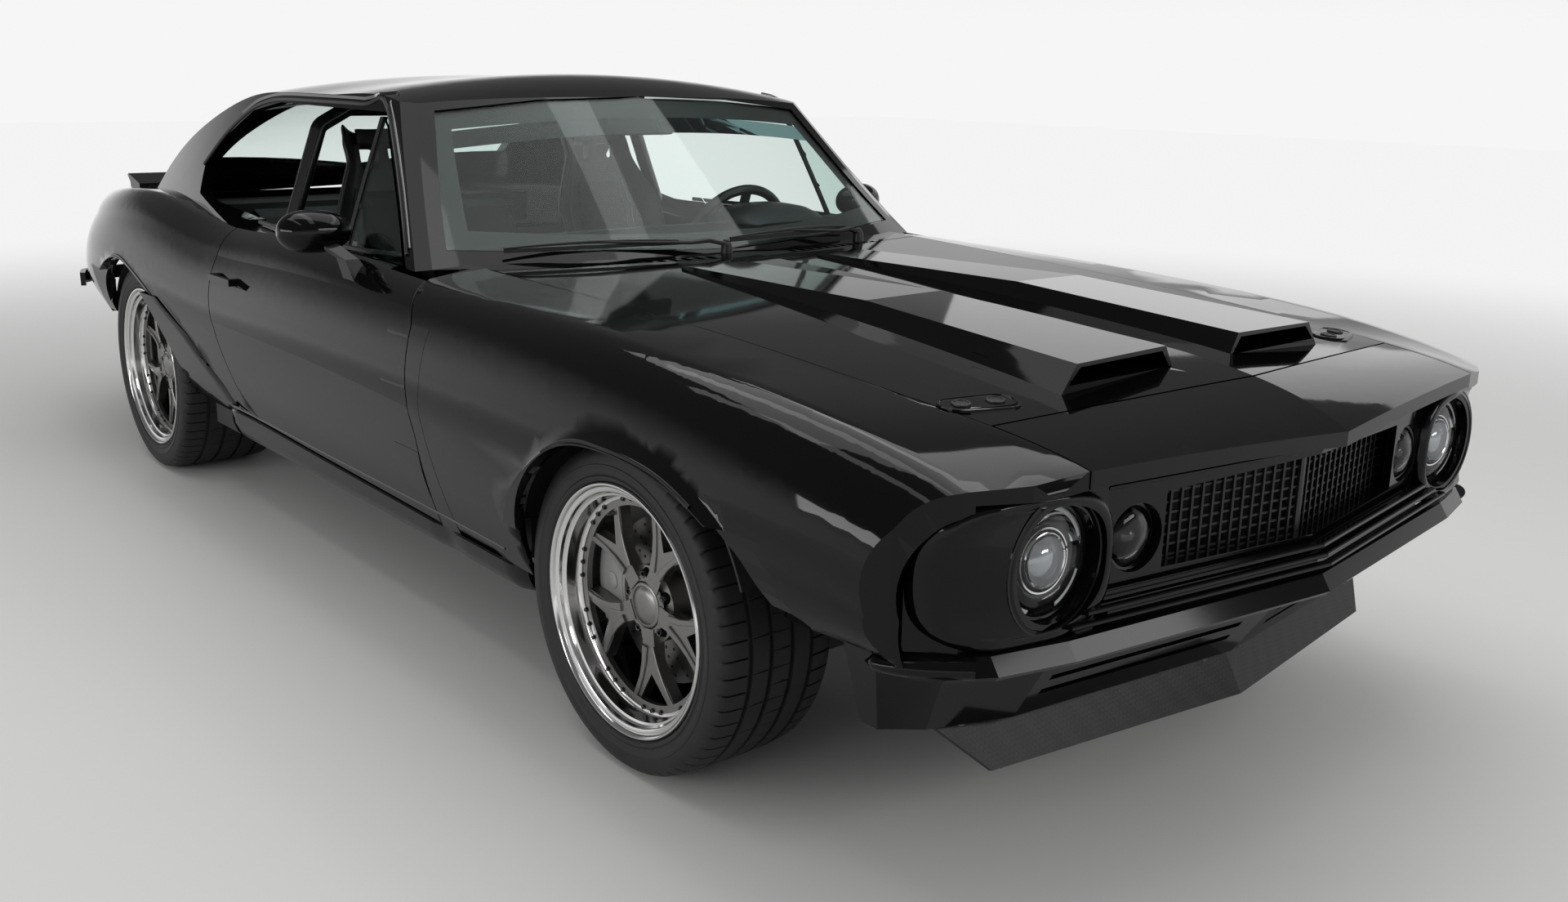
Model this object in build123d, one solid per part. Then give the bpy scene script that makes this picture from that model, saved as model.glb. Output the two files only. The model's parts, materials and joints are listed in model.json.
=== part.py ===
# Muscle car, a two-door hardtop: every panel, glass, wheel, seat and running-gear piece as its own solid.
# Millimetres. +Z up from the ground, -Y to the nose, +X to the car's left side.
# Stations along the car are given as "back", the distance behind the front axle.
import os
from math import cos, pi, radians, sin, sqrt

from build123d import *

os.makedirs("parts", exist_ok=True)

# Driving dimensions
WHEELBASE = 2743.0
NOSE_BACK = -950.0
TAIL_BACK = 3750.0
FRONT_AXLE_Y = -(NOSE_BACK + TAIL_BACK) / 2
PANEL_GAP = 5.0
SKIN_FENDER = 28.0
SKIN_DOOR = 90.0
SKIN_QUARTER = 40.0
SKIN_TOP = 26.0
SKIN_ROOF = 34.0

# Wheels: outer radius, tyre width, rim radius, x of the tyre's outer side, axle back, axle height
FRONT_WHEEL = dict(radius=325.0, width=272.0, rim=247.0, outer=857.0, back=0.0)
REAR_WHEEL = dict(radius=339.0, width=330.0, rim=257.0, outer=860.0, back=WHEELBASE)
KINGPIN_X = 690.0

# Lower body, one row a station. Columns: back, centre height, seam x, seam z, crown x, crown z,
# shoulder x, shoulder z, crease x, crease z, sill x, sill z
BODY_STATIONS = [
    (-960, 735, 600, 726, 790, 690, 838, 640, 858, 545, 836, 474),
    (-760, 806, 618, 779, 796, 752, 862, 690, 886, 540, 856, 468),
    (-480, 836, 634, 806, 800, 802, 868, 742, 903, 565, 876, 456),
    (-150, 854, 645, 832, 800, 829, 868, 776, 913, 560, 858, 320),
    (300, 868, 655, 854, 800, 847, 868, 795, 916, 572, 832, 285),
    (850, 878, 672, 872, 802, 856, 868, 800, 917, 600, 818, 285),
    (1500, 890, 690, 888, 802, 876, 870, 800, 920, 614, 818, 300),
    (2050, 892, 690, 886, 804, 862, 872, 792, 920, 618, 818, 310),
    (2650, 905, 660, 902, 812, 912, 880, 836, 921, 640, 830, 330),
    (3150, 900, 640, 884, 784, 880, 846, 806, 893, 630, 832, 455),
    (3500, 876, 622, 858, 700, 846, 752, 786, 812, 610, 792, 508),
    (3760, 850, 590, 834, 620, 822, 664, 770, 716, 600, 704, 516),
]

# Glasshouse, one row a level. Columns: z, screen centre back, screen corner x, screen corner back,
# pillar x, pillar back, side x at mid length, rear x, rear back
HOUSE_LEVELS = [
    (850, 684, 764, 868, 796, 892, 812, 690, 3110),
    (980, 842, 708, 1004, 738, 1026, 772, 650, 3040),
    (1100, 984, 660, 1114, 690, 1140, 720, 615, 2900),
    (1310, 1230, 566, 1296, 602, 1326, 620, 540, 2600),
]
HOUSE_MID_BACK = 1800.0

# Roof line from the screen over the roof and down the rear window. Columns: back, centre z, drop at the rim
ROOF_STATIONS = [
    (950, 1218, 60),
    (1250, 1275, 84),
    (1600, 1291, 90),
    (2000, 1287, 90),
    (2250, 1263, 88),
    (2500, 1198, 76),
    (2750, 1104, 64),
    (2950, 985, 56),
    (3080, 890, 52),
]
ROOF_RIM_X = 830.0


def y_at(back):
    return FRONT_AXLE_Y + back


def polygon_prism(points, along):
    """Prism of a closed polygon of 3D points, swept by one vector."""
    return Solid.extrude(Face(Wire.make_polygon([Vector(*p) for p in points], close=True)), Vector(*along))


def side_prism(outline, x_low, x_high):
    """Outline of (back, z) points, seen from the side, between two x planes."""
    return polygon_prism([(x_low, y_at(b), z) for b, z in outline], (x_high - x_low, 0, 0))


def plan_prism(outline, z_low, z_high):
    """Outline of (x, back) points, seen from above, between two heights."""
    return polygon_prism([(x, y_at(b), z_low) for x, b in outline], (0, 0, z_high - z_low))


def front_prism(outline, back_low, back_high):
    """Outline of (x, z) points, seen from the front, between two stations."""
    return polygon_prism([(x, y_at(back_low), z) for x, z in outline], (0, back_high - back_low, 0))


def block(x_low, x_high, back_low, back_high, z_low, z_high):
    size = (x_high - x_low, back_high - back_low, z_high - z_low)
    centre = ((x_low + x_high) / 2, y_at((back_low + back_high) / 2), (z_low + z_high) / 2)
    return Pos(*centre) * Box(*size)


def axle_cylinder(back, z, radius, x_low, x_high):
    """Cylinder lying across the car."""
    return Pos((x_low + x_high) / 2, y_at(back), z) * (Rot(0, 90, 0) * Cylinder(radius, x_high - x_low))


def mirrored(solid):
    return solid.mirror(Plane.YZ)


def solids_of(shape):
    return list(shape.solids()) if hasattr(shape, "solids") else [s for item in shape for s in item.solids()]


def both(solid):
    """The same piece on the left and on the right, as solids that don't touch."""
    kept = solids_of(solid)
    return Compound(children=kept + [mirrored(s) for s in kept])


def fused(shapes):
    whole = shapes[0]
    for shape in shapes[1:]:
        whole = whole + shape
    return whole


def export(name, shape):
    parts = [s for s in solids_of(shape) if s.volume > 50]
    export_step(parts[0] if len(parts) == 1 else Compound(children=parts), "parts/" + name + ".step")


def bowed(start, end, bow):
    """Arc from start to end in a plane of constant y, bowed to the outside by the given height."""
    mid = (start + end) / 2
    run = end - start
    out = Vector(run.Z, 0, -run.X).normalized() * -bow
    return ThreePointArc(start, mid + out, end)


# Lower body: half sections lofted along the car, thinned by the skin of the panel that is cut from it
def body_half(side_skin=0.0, top_skin=0.0, floor=0.0, first=0, last=len(BODY_STATIONS)):
    wires = []
    for back, top, xs, zs, xc, zc, xh, zh, xm, zm, xr, zr in BODY_STATIONS[first:last]:
        y = y_at(back)
        corner = side_skin * 0.6
        points = [
            Vector(0, y, top - top_skin),
            Vector(xs - corner, y, zs - top_skin),
            Vector(xc - side_skin, y, zc - top_skin),
            Vector(xh - side_skin, y, zh - corner),
            Vector(xm - side_skin, y, zm),
            Vector(xr - side_skin, y, zr + floor),
            Vector(0, y, zr + floor),
        ]
        edges = [
            Line(points[0], points[1]),
            Line(points[1], points[2]),
            bowed(points[2], points[3], 9),
            bowed(points[3], points[4], 14),
            bowed(points[4], points[5], 10),
            Line(points[5], points[6]),
            Line(points[6], points[0]),
        ]
        wires.append(Wire(edges))
    return Solid.make_loft(wires)


OUTER = body_half()
INNER_FENDER = body_half(SKIN_FENDER, SKIN_TOP, -60)
INNER_DOOR = body_half(SKIN_DOOR, -60, -60)
INNER_QUARTER = body_half(SKIN_QUARTER, SKIN_TOP, -60)


# Wheel arches: lip outline as (distance behind the axle, z), from the rear foot over the top to the front foot
FRONT_ARCH = [(334, 290), (316, 430), (233, 545), (86, 641), (-61, 660), (-240, 641), (-420, 563), (-530, 464)]
REAR_ARCH = [(356, 330), (335, 470), (262, 590), (140, 672), (-2, 702), (-159, 670), (-303, 621), (-490, 534), (-640, 400)]
FLARE_WIDTH = 50.0
FLARE_X = 923.0


def arch_wire(wheel, outline, x, outset):
    """Lip outline pushed out from the axle by the outset, closed below the sill."""
    points = []
    for b, z in outline:
        reach = sqrt(b * b + (z - wheel["radius"]) ** 2)
        grow = (reach + outset) / reach
        points.append(Vector(x, y_at(wheel["back"] + b * grow), wheel["radius"] + (z - wheel["radius"]) * grow))
    lip = Spline(*points)
    low_front = Vector(x, points[-1].Y, 150)
    low_rear = Vector(x, points[0].Y, 150)
    return Wire([lip, Line(points[-1], low_front), Line(low_front, low_rear), Line(low_rear, points[0])])


def arch_opening(wheel, outline):
    return Solid.extrude(Face(arch_wire(wheel, outline, 866, 0)), Vector(140, 0, 0))


def arch_flare(wheel, outline):
    """Flared lip that grows out of the skin toward the opening."""
    return Solid.make_loft([arch_wire(wheel, outline, FLARE_X - 42, FLARE_WIDTH), arch_wire(wheel, outline, FLARE_X, 3)])


def wheel_space(wheel, x_low, reach):
    """Room for the wheel inboard of the skin, and a closer cut round the tyre through the skin's foot."""
    z = wheel["radius"]
    tunnel = axle_cylinder(wheel["back"], z, reach, x_low, 832)
    tunnel = tunnel + block(x_low, 832, wheel["back"] - reach, wheel["back"] + reach, 0, z)
    close = axle_cylinder(wheel["back"], z, wheel["radius"] + 9, 800, 868)
    return tunnel + close + block(800, 868, wheel["back"] - wheel["radius"] - 9, wheel["back"] + wheel["radius"] + 9, 0, z)


FRONT_SPACE = wheel_space(FRONT_WHEEL, 430, 385)
REAR_SPACE = wheel_space(REAR_WHEEL, 480, 372)
ARCHES = arch_opening(FRONT_WHEEL, FRONT_ARCH) + arch_opening(REAR_WHEEL, REAR_ARCH)

# Door hinge axis, upright behind the fender's rear hem
HINGE_X = 850.0
HINGE_BACK = 815.0
HINGE_HEIGHTS = (430.0, 690.0)
HEM = 6.0

# Shut lines. Door edges and sill as (back, z), hood and lid edges as (x, back)
DOOR_FRONT = [(846, 900), (745, 765), (718, 600), (714, 530), (757, 305)]
DOOR_REAR = [(1844, 328), (1903, 421), (1908, 566), (1902, 600), (1938, 720), (1985, 900)]
NOSE_PLAN = [(0, -948), (600, -876), (700, -850), (800, -800), (870, -735), (930, -640)]
HOOD_FRONT = [(0, -757), (612, -684)]
HOOD_REAR = [(668, 752), (0, 600)]
LID_FRONT = [(0, 3075), (610, 3020)]
LID_REAR_BACK = 3688


def shifted(outline, step):
    return [(a + step, b) for a, b in outline]


nose_cut = plan_prism([(-5, NOSE_PLAN[0][1])] + NOSE_PLAN + [(1000, -640), (1000, -1100), (-5, -1100)], 300, 1000)
tail_cut = side_prism([(3718, 900), (3702, 600), (3668, 300), (3900, 300), (3900, 900)], -5, 1000)

fender_zone = side_prism(
    [(-1000, 440), (-1000, 1000), (DOOR_FRONT[0][0] - PANEL_GAP, 1000)]
    + shifted(DOOR_FRONT, -PANEL_GAP)
    + [(757 - PANEL_GAP, 282), (300, 282), (-300, 440)],
    0, 1000)
fender_inboard = plan_prism(
    [(-5, -1100), (598, -1100), (614, HOOD_FRONT[1][1]), (652, 300), (674, 757), (674, 1000), (-5, 1000)], 200, 1000)
hinge_room = body_half(HEM, HEM, -60) & block(700, 1000, HINGE_BACK - 128, 900, 200, 828)
front_flare = (arch_flare(FRONT_WHEEL, FRONT_ARCH) - INNER_FENDER) & fender_zone
fender = (((OUTER - INNER_FENDER) & fender_zone) + front_flare) - fender_inboard - nose_cut - ARCHES - FRONT_SPACE - hinge_room
lamp_opening = front_prism([(500, 486), (780, 486), (780, 720), (500, 720)], -1100, -700)
fender = fender - lamp_opening
export("fenders", both(fender))

header_zone = plan_prism([(0, -1100), (596, -1100), (610, HOOD_FRONT[1][1] - PANEL_GAP), (0, HOOD_FRONT[0][1] - PANEL_GAP)],
                         600, 1000)
header = ((OUTER - INNER_FENDER) & header_zone) - nose_cut
header = fused([header, mirrored(header)])
export("header_panel", header)

# Hood with twin tapering scoops and flush oval latches
hood_zone = plan_prism([(0, HOOD_FRONT[0][1]), HOOD_FRONT[1], (650, 300), HOOD_REAR[0], HOOD_REAR[1]], 600, 1000)
hood_half = (OUTER - INNER_FENDER) & hood_zone
scoop_front = [(406, 795), (364, 852), (115, 856), (80, 795)]
scoop_mid = [(360, 825), (330, 884), (120, 886), (96, 825)]
scoop_rear = [(300, 840), (290, 876), (130, 878), (120, 840)]
scoop = Solid.make_loft([
    Wire.make_polygon([Vector(x, y_at(b), z) for x, z in row], close=True)
    for b, row in [(-650, scoop_front), (-100, scoop_mid), (560, scoop_rear)]], True)
scoop_mouth = Solid.make_loft([
    Wire.make_polygon([Vector(x, y_at(b), z) for x, z in row], close=True)
    for b, row in [(-700, [(388, 812), (356, 844), (123, 847), (98, 812)]),
                   (-420, [(370, 836), (345, 850), (130, 850), (110, 836)])]], True)
scoop = scoop - INNER_FENDER - scoop_mouth
hood_half = hood_half + scoop - scoop_mouth
latch = Pos(550, y_at(-612), 786) * (Rot(0, 0, 20) * (extrude(SlotOverall(130, 56), 14)))
hood = fused([hood_half + latch, mirrored(hood_half + latch)])
export("hood", hood)

# Cowl panel with its two vent slots, and the firewall lip under it
cowl_zone = plan_prism([(0, HOOD_REAR[1][1] + PANEL_GAP), (668, HOOD_REAR[0][1] + PANEL_GAP), (674, 790), (752, 884), (0, 722)],
                       600, 1000)
cowl_half = (OUTER - INNER_FENDER) & cowl_zone
vents = fused([block(120 + 34 * i, 140 + 34 * i, 640 + 5 * i, 675 + 5 * i, 600, 1000) for i in range(11)])
cowl_half = cowl_half - vents
cowl_half = cowl_half - fender
export("cowl_panel", fused([cowl_half, mirrored(cowl_half)]))

# Doors: the whole door's thickness, belt at the top, cut away round the two hinge straps
door_zone = side_prism(DOOR_FRONT + DOOR_REAR, 0, 1000)
door = (OUTER - INNER_DOOR) & door_zone & block(600, 1000, 600, 2100, 300, 884)
pillar_foot = block(600, 812, 700, 985, 830, 1000)
door = door - pillar_foot
for height in HINGE_HEIGHTS:
    door = door - block(700, HINGE_X + 16, 600, HINGE_BACK + 18, height - 40, height + 40)
    knuckle_low = Pos(HINGE_X, y_at(HINGE_BACK), height - 19) * Cylinder(12, 20)
    knuckle_high = Pos(HINGE_X, y_at(HINGE_BACK), height + 19) * Cylinder(12, 20)
    leaf_low = block(HINGE_X - 10, HINGE_X + 6, HINGE_BACK, HINGE_BACK + 24, height - 29, height - 9)
    leaf_high = block(HINGE_X - 10, HINGE_X + 6, HINGE_BACK, HINGE_BACK + 24, height + 9, height + 29)
    bore = Pos(HINGE_X, y_at(HINGE_BACK), height) * Cylinder(7.05, 90)
    door = door + (fused([knuckle_low, knuckle_high, leaf_low, leaf_high]) - bore)
handle_z = 742
handle = block(880, 926, 1730, 1885, handle_z - 9, handle_z + 9) - block(870, 914, 1752, 1862, handle_z - 12, handle_z + 12)
door = door + (handle - OUTER)
armrest = block(756, 836, 1150, 1600, 610, 650)
door = (door + armrest) - block(600, 790, 600, 870, 290, 440)

# Mirror: a rounded shell on a curved foot at the front of the door's belt
MIRROR_CENTRE = (890.0, 1225.0, 925.0)
# columns: distance along the shell, radius
MIRROR_ROUNDS = [(-88, 8), (-78, 27), (-50, 43), (0, 51), (45, 47), (75, 30), (86, 9)]
mirror_shell = Solid.make_loft([Wire.make_circle(radius, Plane(Vector(along, 0, 0), z_dir=Vector(1, 0, 0)))
                                for along, radius in MIRROR_ROUNDS])
mirror_shell = mirror_shell - Pos(0, 74, 0) * Box(300, 100, 300)
mirror_shell = Pos(MIRROR_CENTRE[0], y_at(MIRROR_CENTRE[1]), MIRROR_CENTRE[2]) * (Rot(0, 0, 10) * mirror_shell)
# columns: z, inner x, outer x, front back, rear back
MIRROR_FOOT = [(815, 806, 858, 1080, 1140), (868, 832, 866, 1110, 1160), (912, 866, 906, 1190, 1238)]
mirror_foot = Solid.make_loft([
    Wire.make_polygon([Vector(x, y_at(b), z) for x, b in [(x1, b1), (x2, b1), (x2, b2), (x1, b2)]], close=True)
    for z, x1, x2, b1, b2 in MIRROR_FOOT], True)
mirror_whole = (mirror_foot - OUTER) + mirror_shell
for side, side_name in ((1, "left"), (-1, "right")):
    pair = [door, mirror_whole]
    if side < 0:
        pair = [mirrored(piece) for piece in pair]
    export("door_" + side_name, pair[0])
    export("mirror_" + side_name, pair[1])

# Quarter panels with the haunch over the rear wheel, and the deck's sides
quarter_zone = side_prism(
    [(DOOR_REAR[0][0] + PANEL_GAP, 284)] + shifted(DOOR_REAR, PANEL_GAP) + [(2030, 1000), (3800, 1000), (3800, 400),
     (3150, 380), (2750, 380), (2300, 284)], 0, 1000)
quarter_inboard = plan_prism([(-5, 1900), (720, 1900), (700, 2400), (640, 2980), (610 + PANEL_GAP, 3018), (590, 3712),
                              (590, 3800), (-5, 3800)], 200, 1100)
rear_flare = (arch_flare(REAR_WHEEL, REAR_ARCH) - INNER_QUARTER) & quarter_zone
quarter = (((OUTER - INNER_QUARTER) & quarter_zone) + rear_flare) - quarter_inboard - tail_cut - ARCHES - REAR_SPACE
export("quarters", both(quarter))

lid_zone = plan_prism([LID_FRONT[0], LID_FRONT[1], (585, LID_REAR_BACK), (0, LID_REAR_BACK)], 600, 1000)
lid = (OUTER - INNER_QUARTER) & lid_zone
spoiler_profile = [(3580, 866), (3704, 896), (3714, 890), (3688, 866), (3686, 846), (3580, 846)]
spoiler = side_prism(spoiler_profile, 0, 583) - lid
lid = fused([lid, spoiler])
export("trunk_lid", fused([lid, mirrored(lid)]))

# Tail panel between the quarters, with a recess for each lamp
tail_face = OUTER & side_prism([(3684, 815), (3715, 815), (3701, 600), (3668, 440), (3638, 440), (3671, 600)], 0, 590)
deck_bridge = (OUTER - INNER_QUARTER) & block(0, 589, LID_REAR_BACK + PANEL_GAP, 3717, 700, 1000)
lamp_recess = block(230, 530, 3682, 3800, 640, 740)
tail_half = fused([tail_face, deck_bridge]) - lamp_recess - block(0, 588, 3500, LID_REAR_BACK + 3, 780, 1000)
export("tail_panel", fused([tail_half, mirrored(tail_half)]))
tail_lamp = block(230, 530, 3682, 3706, 640, 740)
export("tail_lamps", both(tail_lamp))


# Glasshouse: roof, pillars and sail panels as one shell, cut open for the screen, the side glass and the rear window
def house(inset):
    wires = []
    for z, screen, cx, cb, px, pb, sx, rx, rb in HOUSE_LEVELS:
        front = Vector(0, y_at(screen + inset), z)
        corner = Vector(cx - inset * 0.6, y_at(cb + inset), z)
        pillar = Vector(px - inset, y_at(pb + inset * 0.5), z)
        middle = Vector(sx - inset, y_at(HOUSE_MID_BACK), z)
        rear = Vector(rx - inset, y_at(rb), z)
        tail = Vector(0, y_at(rb), z)
        bend = Vector(front.X + (corner.X - front.X) * 0.5, front.Y + (corner.Y - front.Y) * 0.26, z)
        wires.append(Wire([ThreePointArc(front, bend, corner), Line(corner, pillar), ThreePointArc(pillar, middle, rear),
                           Line(rear, tail), Line(tail, front)]))
    return Solid.make_loft(wires)


def crown(inset):
    wires = []
    for back, centre, drop in ROOF_STATIONS:
        y = y_at(back - inset * 0.3)
        top = Vector(0, y, centre - inset)
        quarter_point = Vector(ROOF_RIM_X * 0.5, y, centre - inset - drop * 0.25)
        rim = Vector(ROOF_RIM_X, y, centre - inset - drop)
        foot = Vector(ROOF_RIM_X, y, 760)
        base = Vector(0, y, 760)
        wires.append(Wire([ThreePointArc(top, quarter_point, rim), Line(rim, foot), Line(foot, base), Line(base, top)]))
    return Solid.make_loft(wires)


def front_closure(z_high):
    """Space ahead of the roof line's first station, so that the pillars' feet are kept."""
    return block(0, 900, 600, 952, 700, z_high)


HOUSE_OUT = house(0)
CROWN_OUT = crown(0) + front_closure(1218)
SHELL = (HOUSE_OUT & CROWN_OUT) - (house(SKIN_ROOF) & (crown(SKIN_ROOF) + front_closure(1184)))
screen_opening = front_prism([(0, 880), (708, 900), (578, 1206), (300, 1234), (0, 1243)], 500, 1330)
side_opening = side_prism([(934, 850), (1292, 1200), (1940, 1206), (2140, 1178), (2300, 1100), (2415, 1005), (2390, 925),
                                       (1990, 850)], 520, 900)
rear_opening = plan_prism([(0, 2350), (470, 2320), (540, 2890), (0, 2980)], 880, 1300)
lid_room = plan_prism([(0, LID_FRONT[0][1] - PANEL_GAP), (LID_FRONT[1][0] + PANEL_GAP, LID_FRONT[1][1] - PANEL_GAP), (600, 3300),
                       (0, 3300)], 840, 1000)
shell = SHELL - OUTER - screen_opening - side_opening - rear_opening - lid_room
export("roof", fused([shell, mirrored(shell)]))

screen = (house(5) - house(11)) & screen_opening
screen = (screen & CROWN_OUT) - OUTER - block(700, 900, 500, 3000, 700, 1000)
export("windscreen", fused([screen, mirrored(screen)]))
rear_glass = ((crown(4) - crown(10)) & rear_opening & HOUSE_OUT) - OUTER
export("rear_window", fused([rear_glass, mirrored(rear_glass)]))

# Vent glasses, fixed in the front corner of each door's window
vent_outline = [(966, 862), (1268, 1162), (1306, 1186), (1250, 862)]
vent_glass = (house(4) - house(10)) & side_prism(vent_outline, 560, 900)
vent_bar = (house(2) - house(14)) & side_prism([(1242, 862), (1304, 1188), (1320, 1188), (1258, 862)], 560, 900)
vent = (vent_glass + vent_bar) - shell - door
export("vent_glass_left", vent)
export("vent_glass_right", mirrored(vent))

# Nose: one dark frame round the grille and the four lamps, V-shaped in plan
GRILLE_PEAK = -905.0
GRILLE_SWEEP = 0.143
LAMP_X, LAMP_Z, LAMP_R = 620.0, 604.0, 89.0
INNER_LAMP_X, INNER_LAMP_Z, INNER_LAMP_R = 434.0, 612.0, 54.0


def v_band(front_back, depth, x_high, z_low, z_high, sweep=GRILLE_SWEEP, x_low=0.0):
    """Half of a band that is V-shaped in plan, of constant depth."""
    return plan_prism([(x_low, front_back + sweep * x_low), (x_high, front_back + sweep * x_high),
                       (x_high, front_back + sweep * x_high + depth), (x_low, front_back + sweep * x_low + depth)],
                      z_low, z_high)


def lamp_cylinder(x, z, radius, back_low, back_high):
    return Pos(x, y_at((back_low + back_high) / 2), z) * (Rot(90, 0, 0) * Cylinder(radius, back_high - back_low))


frame_body = v_band(GRILLE_PEAK, 100, 500, 486, 720) + plan_prism(
    [(500, -834), (640, -822), (780, -790), (838, -730), (838, -690), (780, -690), (500, -733)], 486, 720)
bezel = lamp_cylinder(LAMP_X, LAMP_Z, LAMP_R + 24, -838, -790)
grille_window = front_prism([(-5, 548), (372, 552), (372, 680), (-5, 694)], -1000, -700)
frame_body = (frame_body + bezel) - grille_window
frame_body = frame_body - lamp_cylinder(LAMP_X, LAMP_Z, LAMP_R + 4, -1000, -600)
frame_body = frame_body - lamp_cylinder(INNER_LAMP_X, INNER_LAMP_Z, INNER_LAMP_R + 3, -1000, -600)
frame_step = v_band(GRILLE_PEAK - 15, 60, 500, 486, 520)
frame_body = (frame_body + frame_step) - header - fender
export("nose_frame", fused([frame_body, mirrored(frame_body)]))

# Mesh grille: upright bars in front of level bars, in two flat halves that meet at the peak
LEVEL_BARS = 8
UPRIGHT_BARS = 15
level_pitch = 146.0 / LEVEL_BARS
upright_pitch = 372.0 / UPRIGHT_BARS
grille_half = fused(
    [v_band(GRILLE_PEAK + 34, 5, 372, 546 + level_pitch * (row + 0.5) - 2, 546 + level_pitch * (row + 0.5) + 2)
     for row in range(LEVEL_BARS)]
    + [v_band(GRILLE_PEAK + 31, 6, upright_pitch * column + 2.5, 548, 694, x_low=upright_pitch * column - 2.5)
       for column in range(1, UPRIGHT_BARS)]
    + [v_band(GRILLE_PEAK + 30, 12, 8, 548, 694)])
grille_half = grille_half & grille_window
export("grille", fused([grille_half, mirrored(grille_half)]))

# Lamps: domed lens in front of a round housing with a projector
def round_lamp(x, z, radius, face_back, depth):
    housing = lamp_cylinder(x, z, radius, face_back + 10, face_back + depth)
    rim = lamp_cylinder(x, z, radius, face_back - 6, face_back + 10)
    bowl = lamp_cylinder(x, z, radius - 8, face_back - 8, face_back + 30)
    projector = lamp_cylinder(x, z, radius * 0.42, face_back + 8, face_back + 32)
    return fused([(housing + rim) - bowl, projector])


front_lamps = round_lamp(LAMP_X, LAMP_Z, LAMP_R + 4, -806, 80)
inner_lamps = round_lamp(INNER_LAMP_X, INNER_LAMP_Z, INNER_LAMP_R + 3, -822, 60)
export("front_lamps", both(Compound(children=solids_of(front_lamps) + solids_of(inner_lamps))))

# Bumpers: slim blades, the front one V-shaped in plan with ends that wrap round the corners
# columns: x, back of the front edge, low z, high z, depth
BUMPER_STATIONS = [
    (0, -950, 446, 485, 44),
    (600, -872, 446, 485, 46),
    (740, -838, 446, 485, 52),
    (810, -796, 446, 485, 70),
    (840, -758, 449, 481, 60),
    (852, -722, 457, 472, 24),
]
blade_wires = []
for x, front, low, high, depth in BUMPER_STATIONS:
    rise = high - low
    section = [(front + 8, low), (front, low + rise * 0.22), (front + 18, high - 3), (front + 26, high),
               (front + depth, high), (front + depth, low)]
    blade_wires.append(Wire.make_polygon([Vector(x, y_at(b), z) for b, z in section], close=True))
front_bumper = Solid.make_loft(blade_wires, True)
front_bumper = fused([front_bumper, mirrored(front_bumper)]) - both(fender)
export("front_bumper", front_bumper)
rear_plan = [(0, 3750), (600, 3744), (740, 3716), (800, 3650), (828, 3560), (812, 3552), (786, 3634), (728, 3698),
             (594, 3722), (0, 3726)]
rear_bumper = plan_prism(rear_plan, 504, 552)
rear_bumper = fused([rear_bumper, mirrored(rear_bumper)])

# Valance below the bumper, with the turned-in floor that carries the chin spoiler
def valance_body(inset, z_low, z_high):
    top = [(0, -882), (560, -808), (748, -744), (802, -640), (802, -565)]
    foot = [(0, -772), (540, -706), (690, -650), (752, -600), (752, -560)]
    wires = []
    for z, outline in ((448, top), (284, foot)):
        points = [(0, outline[0][1] + inset)] + [(x - inset * 0.5, b + inset) for x, b in outline[1:]] + [(0, -500)]
        wires.append(Wire.make_polygon([Vector(x, y_at(b), z) for x, b in points], close=True))
    return Solid.make_loft(wires, True) & block(0, 1000, -1000, -560, z_low, z_high)


valance_floor = valance_body(0, 284, 296) - block(-5, 640, -716, -500, 200, 320)
valance_face = valance_body(0, 284, 448) - valance_body(13, 284, 448)
louvres = fused([block(60, 520, -1000, -700, z, z + 12) for z in (330, 362, 394)])
valance = fused([valance_face - louvres, valance_floor])
export("front_valance", fused([valance, mirrored(valance)]))
CHIN_THICK = Vector(0, 9, -3)
chin_middle = [Vector(0, y_at(-757), 284), Vector(0, y_at(-801), 208)]
chin_end = [Vector(671, y_at(-645), 284), Vector(590, y_at(-711), 203)]
chin = Solid.make_loft([
    Wire.make_polygon([row[0], row[1], row[1] + CHIN_THICK, row[0] + CHIN_THICK], close=True)
    for row in (chin_middle, chin_end)], True)
chin = chin - valance
export("chin_spoiler", fused([chin, mirrored(chin)]))

# Floor pan: floor, tunnel, sills and seat riser
floor = block(0, 700, 590, 2370, 236, 247)
tunnel = block(0, 118, 590, 2370, 247, 440) - block(-5, 106, 560, 2390, 230, 428)
sill = block(690, 802, 766, 2280, 238, 297)
floor_half = fused([floor - block(-5, 106, 560, 2390, 230, 250), tunnel, sill]) - fender - quarter
export("floor_pan", fused([floor_half, mirrored(floor_half)]))

# Firewall with the hinge pillars, their straps and pins
firewall = block(0, 684, 590, 602, 247, 826) - block(-5, 118, 560, 620, 200, 440)
pillar = block(684, 742, 770, 858, 297, 826)
pillar_web = block(678, 690, 590, 858, 247, 826)
firewall_half = fused([firewall, pillar, pillar_web])
for height in HINGE_HEIGHTS:
    strap = block(738, HINGE_X, HINGE_BACK - 11, HINGE_BACK + 11, height - 8, height + 8)
    eye = Pos(HINGE_X, y_at(HINGE_BACK), height) * Cylinder(12, 16)
    pin = Pos(HINGE_X, y_at(HINGE_BACK), height) * Cylinder(7, 60)
    firewall_half = firewall_half + fused([strap, eye, pin])
firewall_half = firewall_half - fender - cowl_half - floor_half
export("firewall", fused([firewall_half, mirrored(firewall_half)]))

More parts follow.
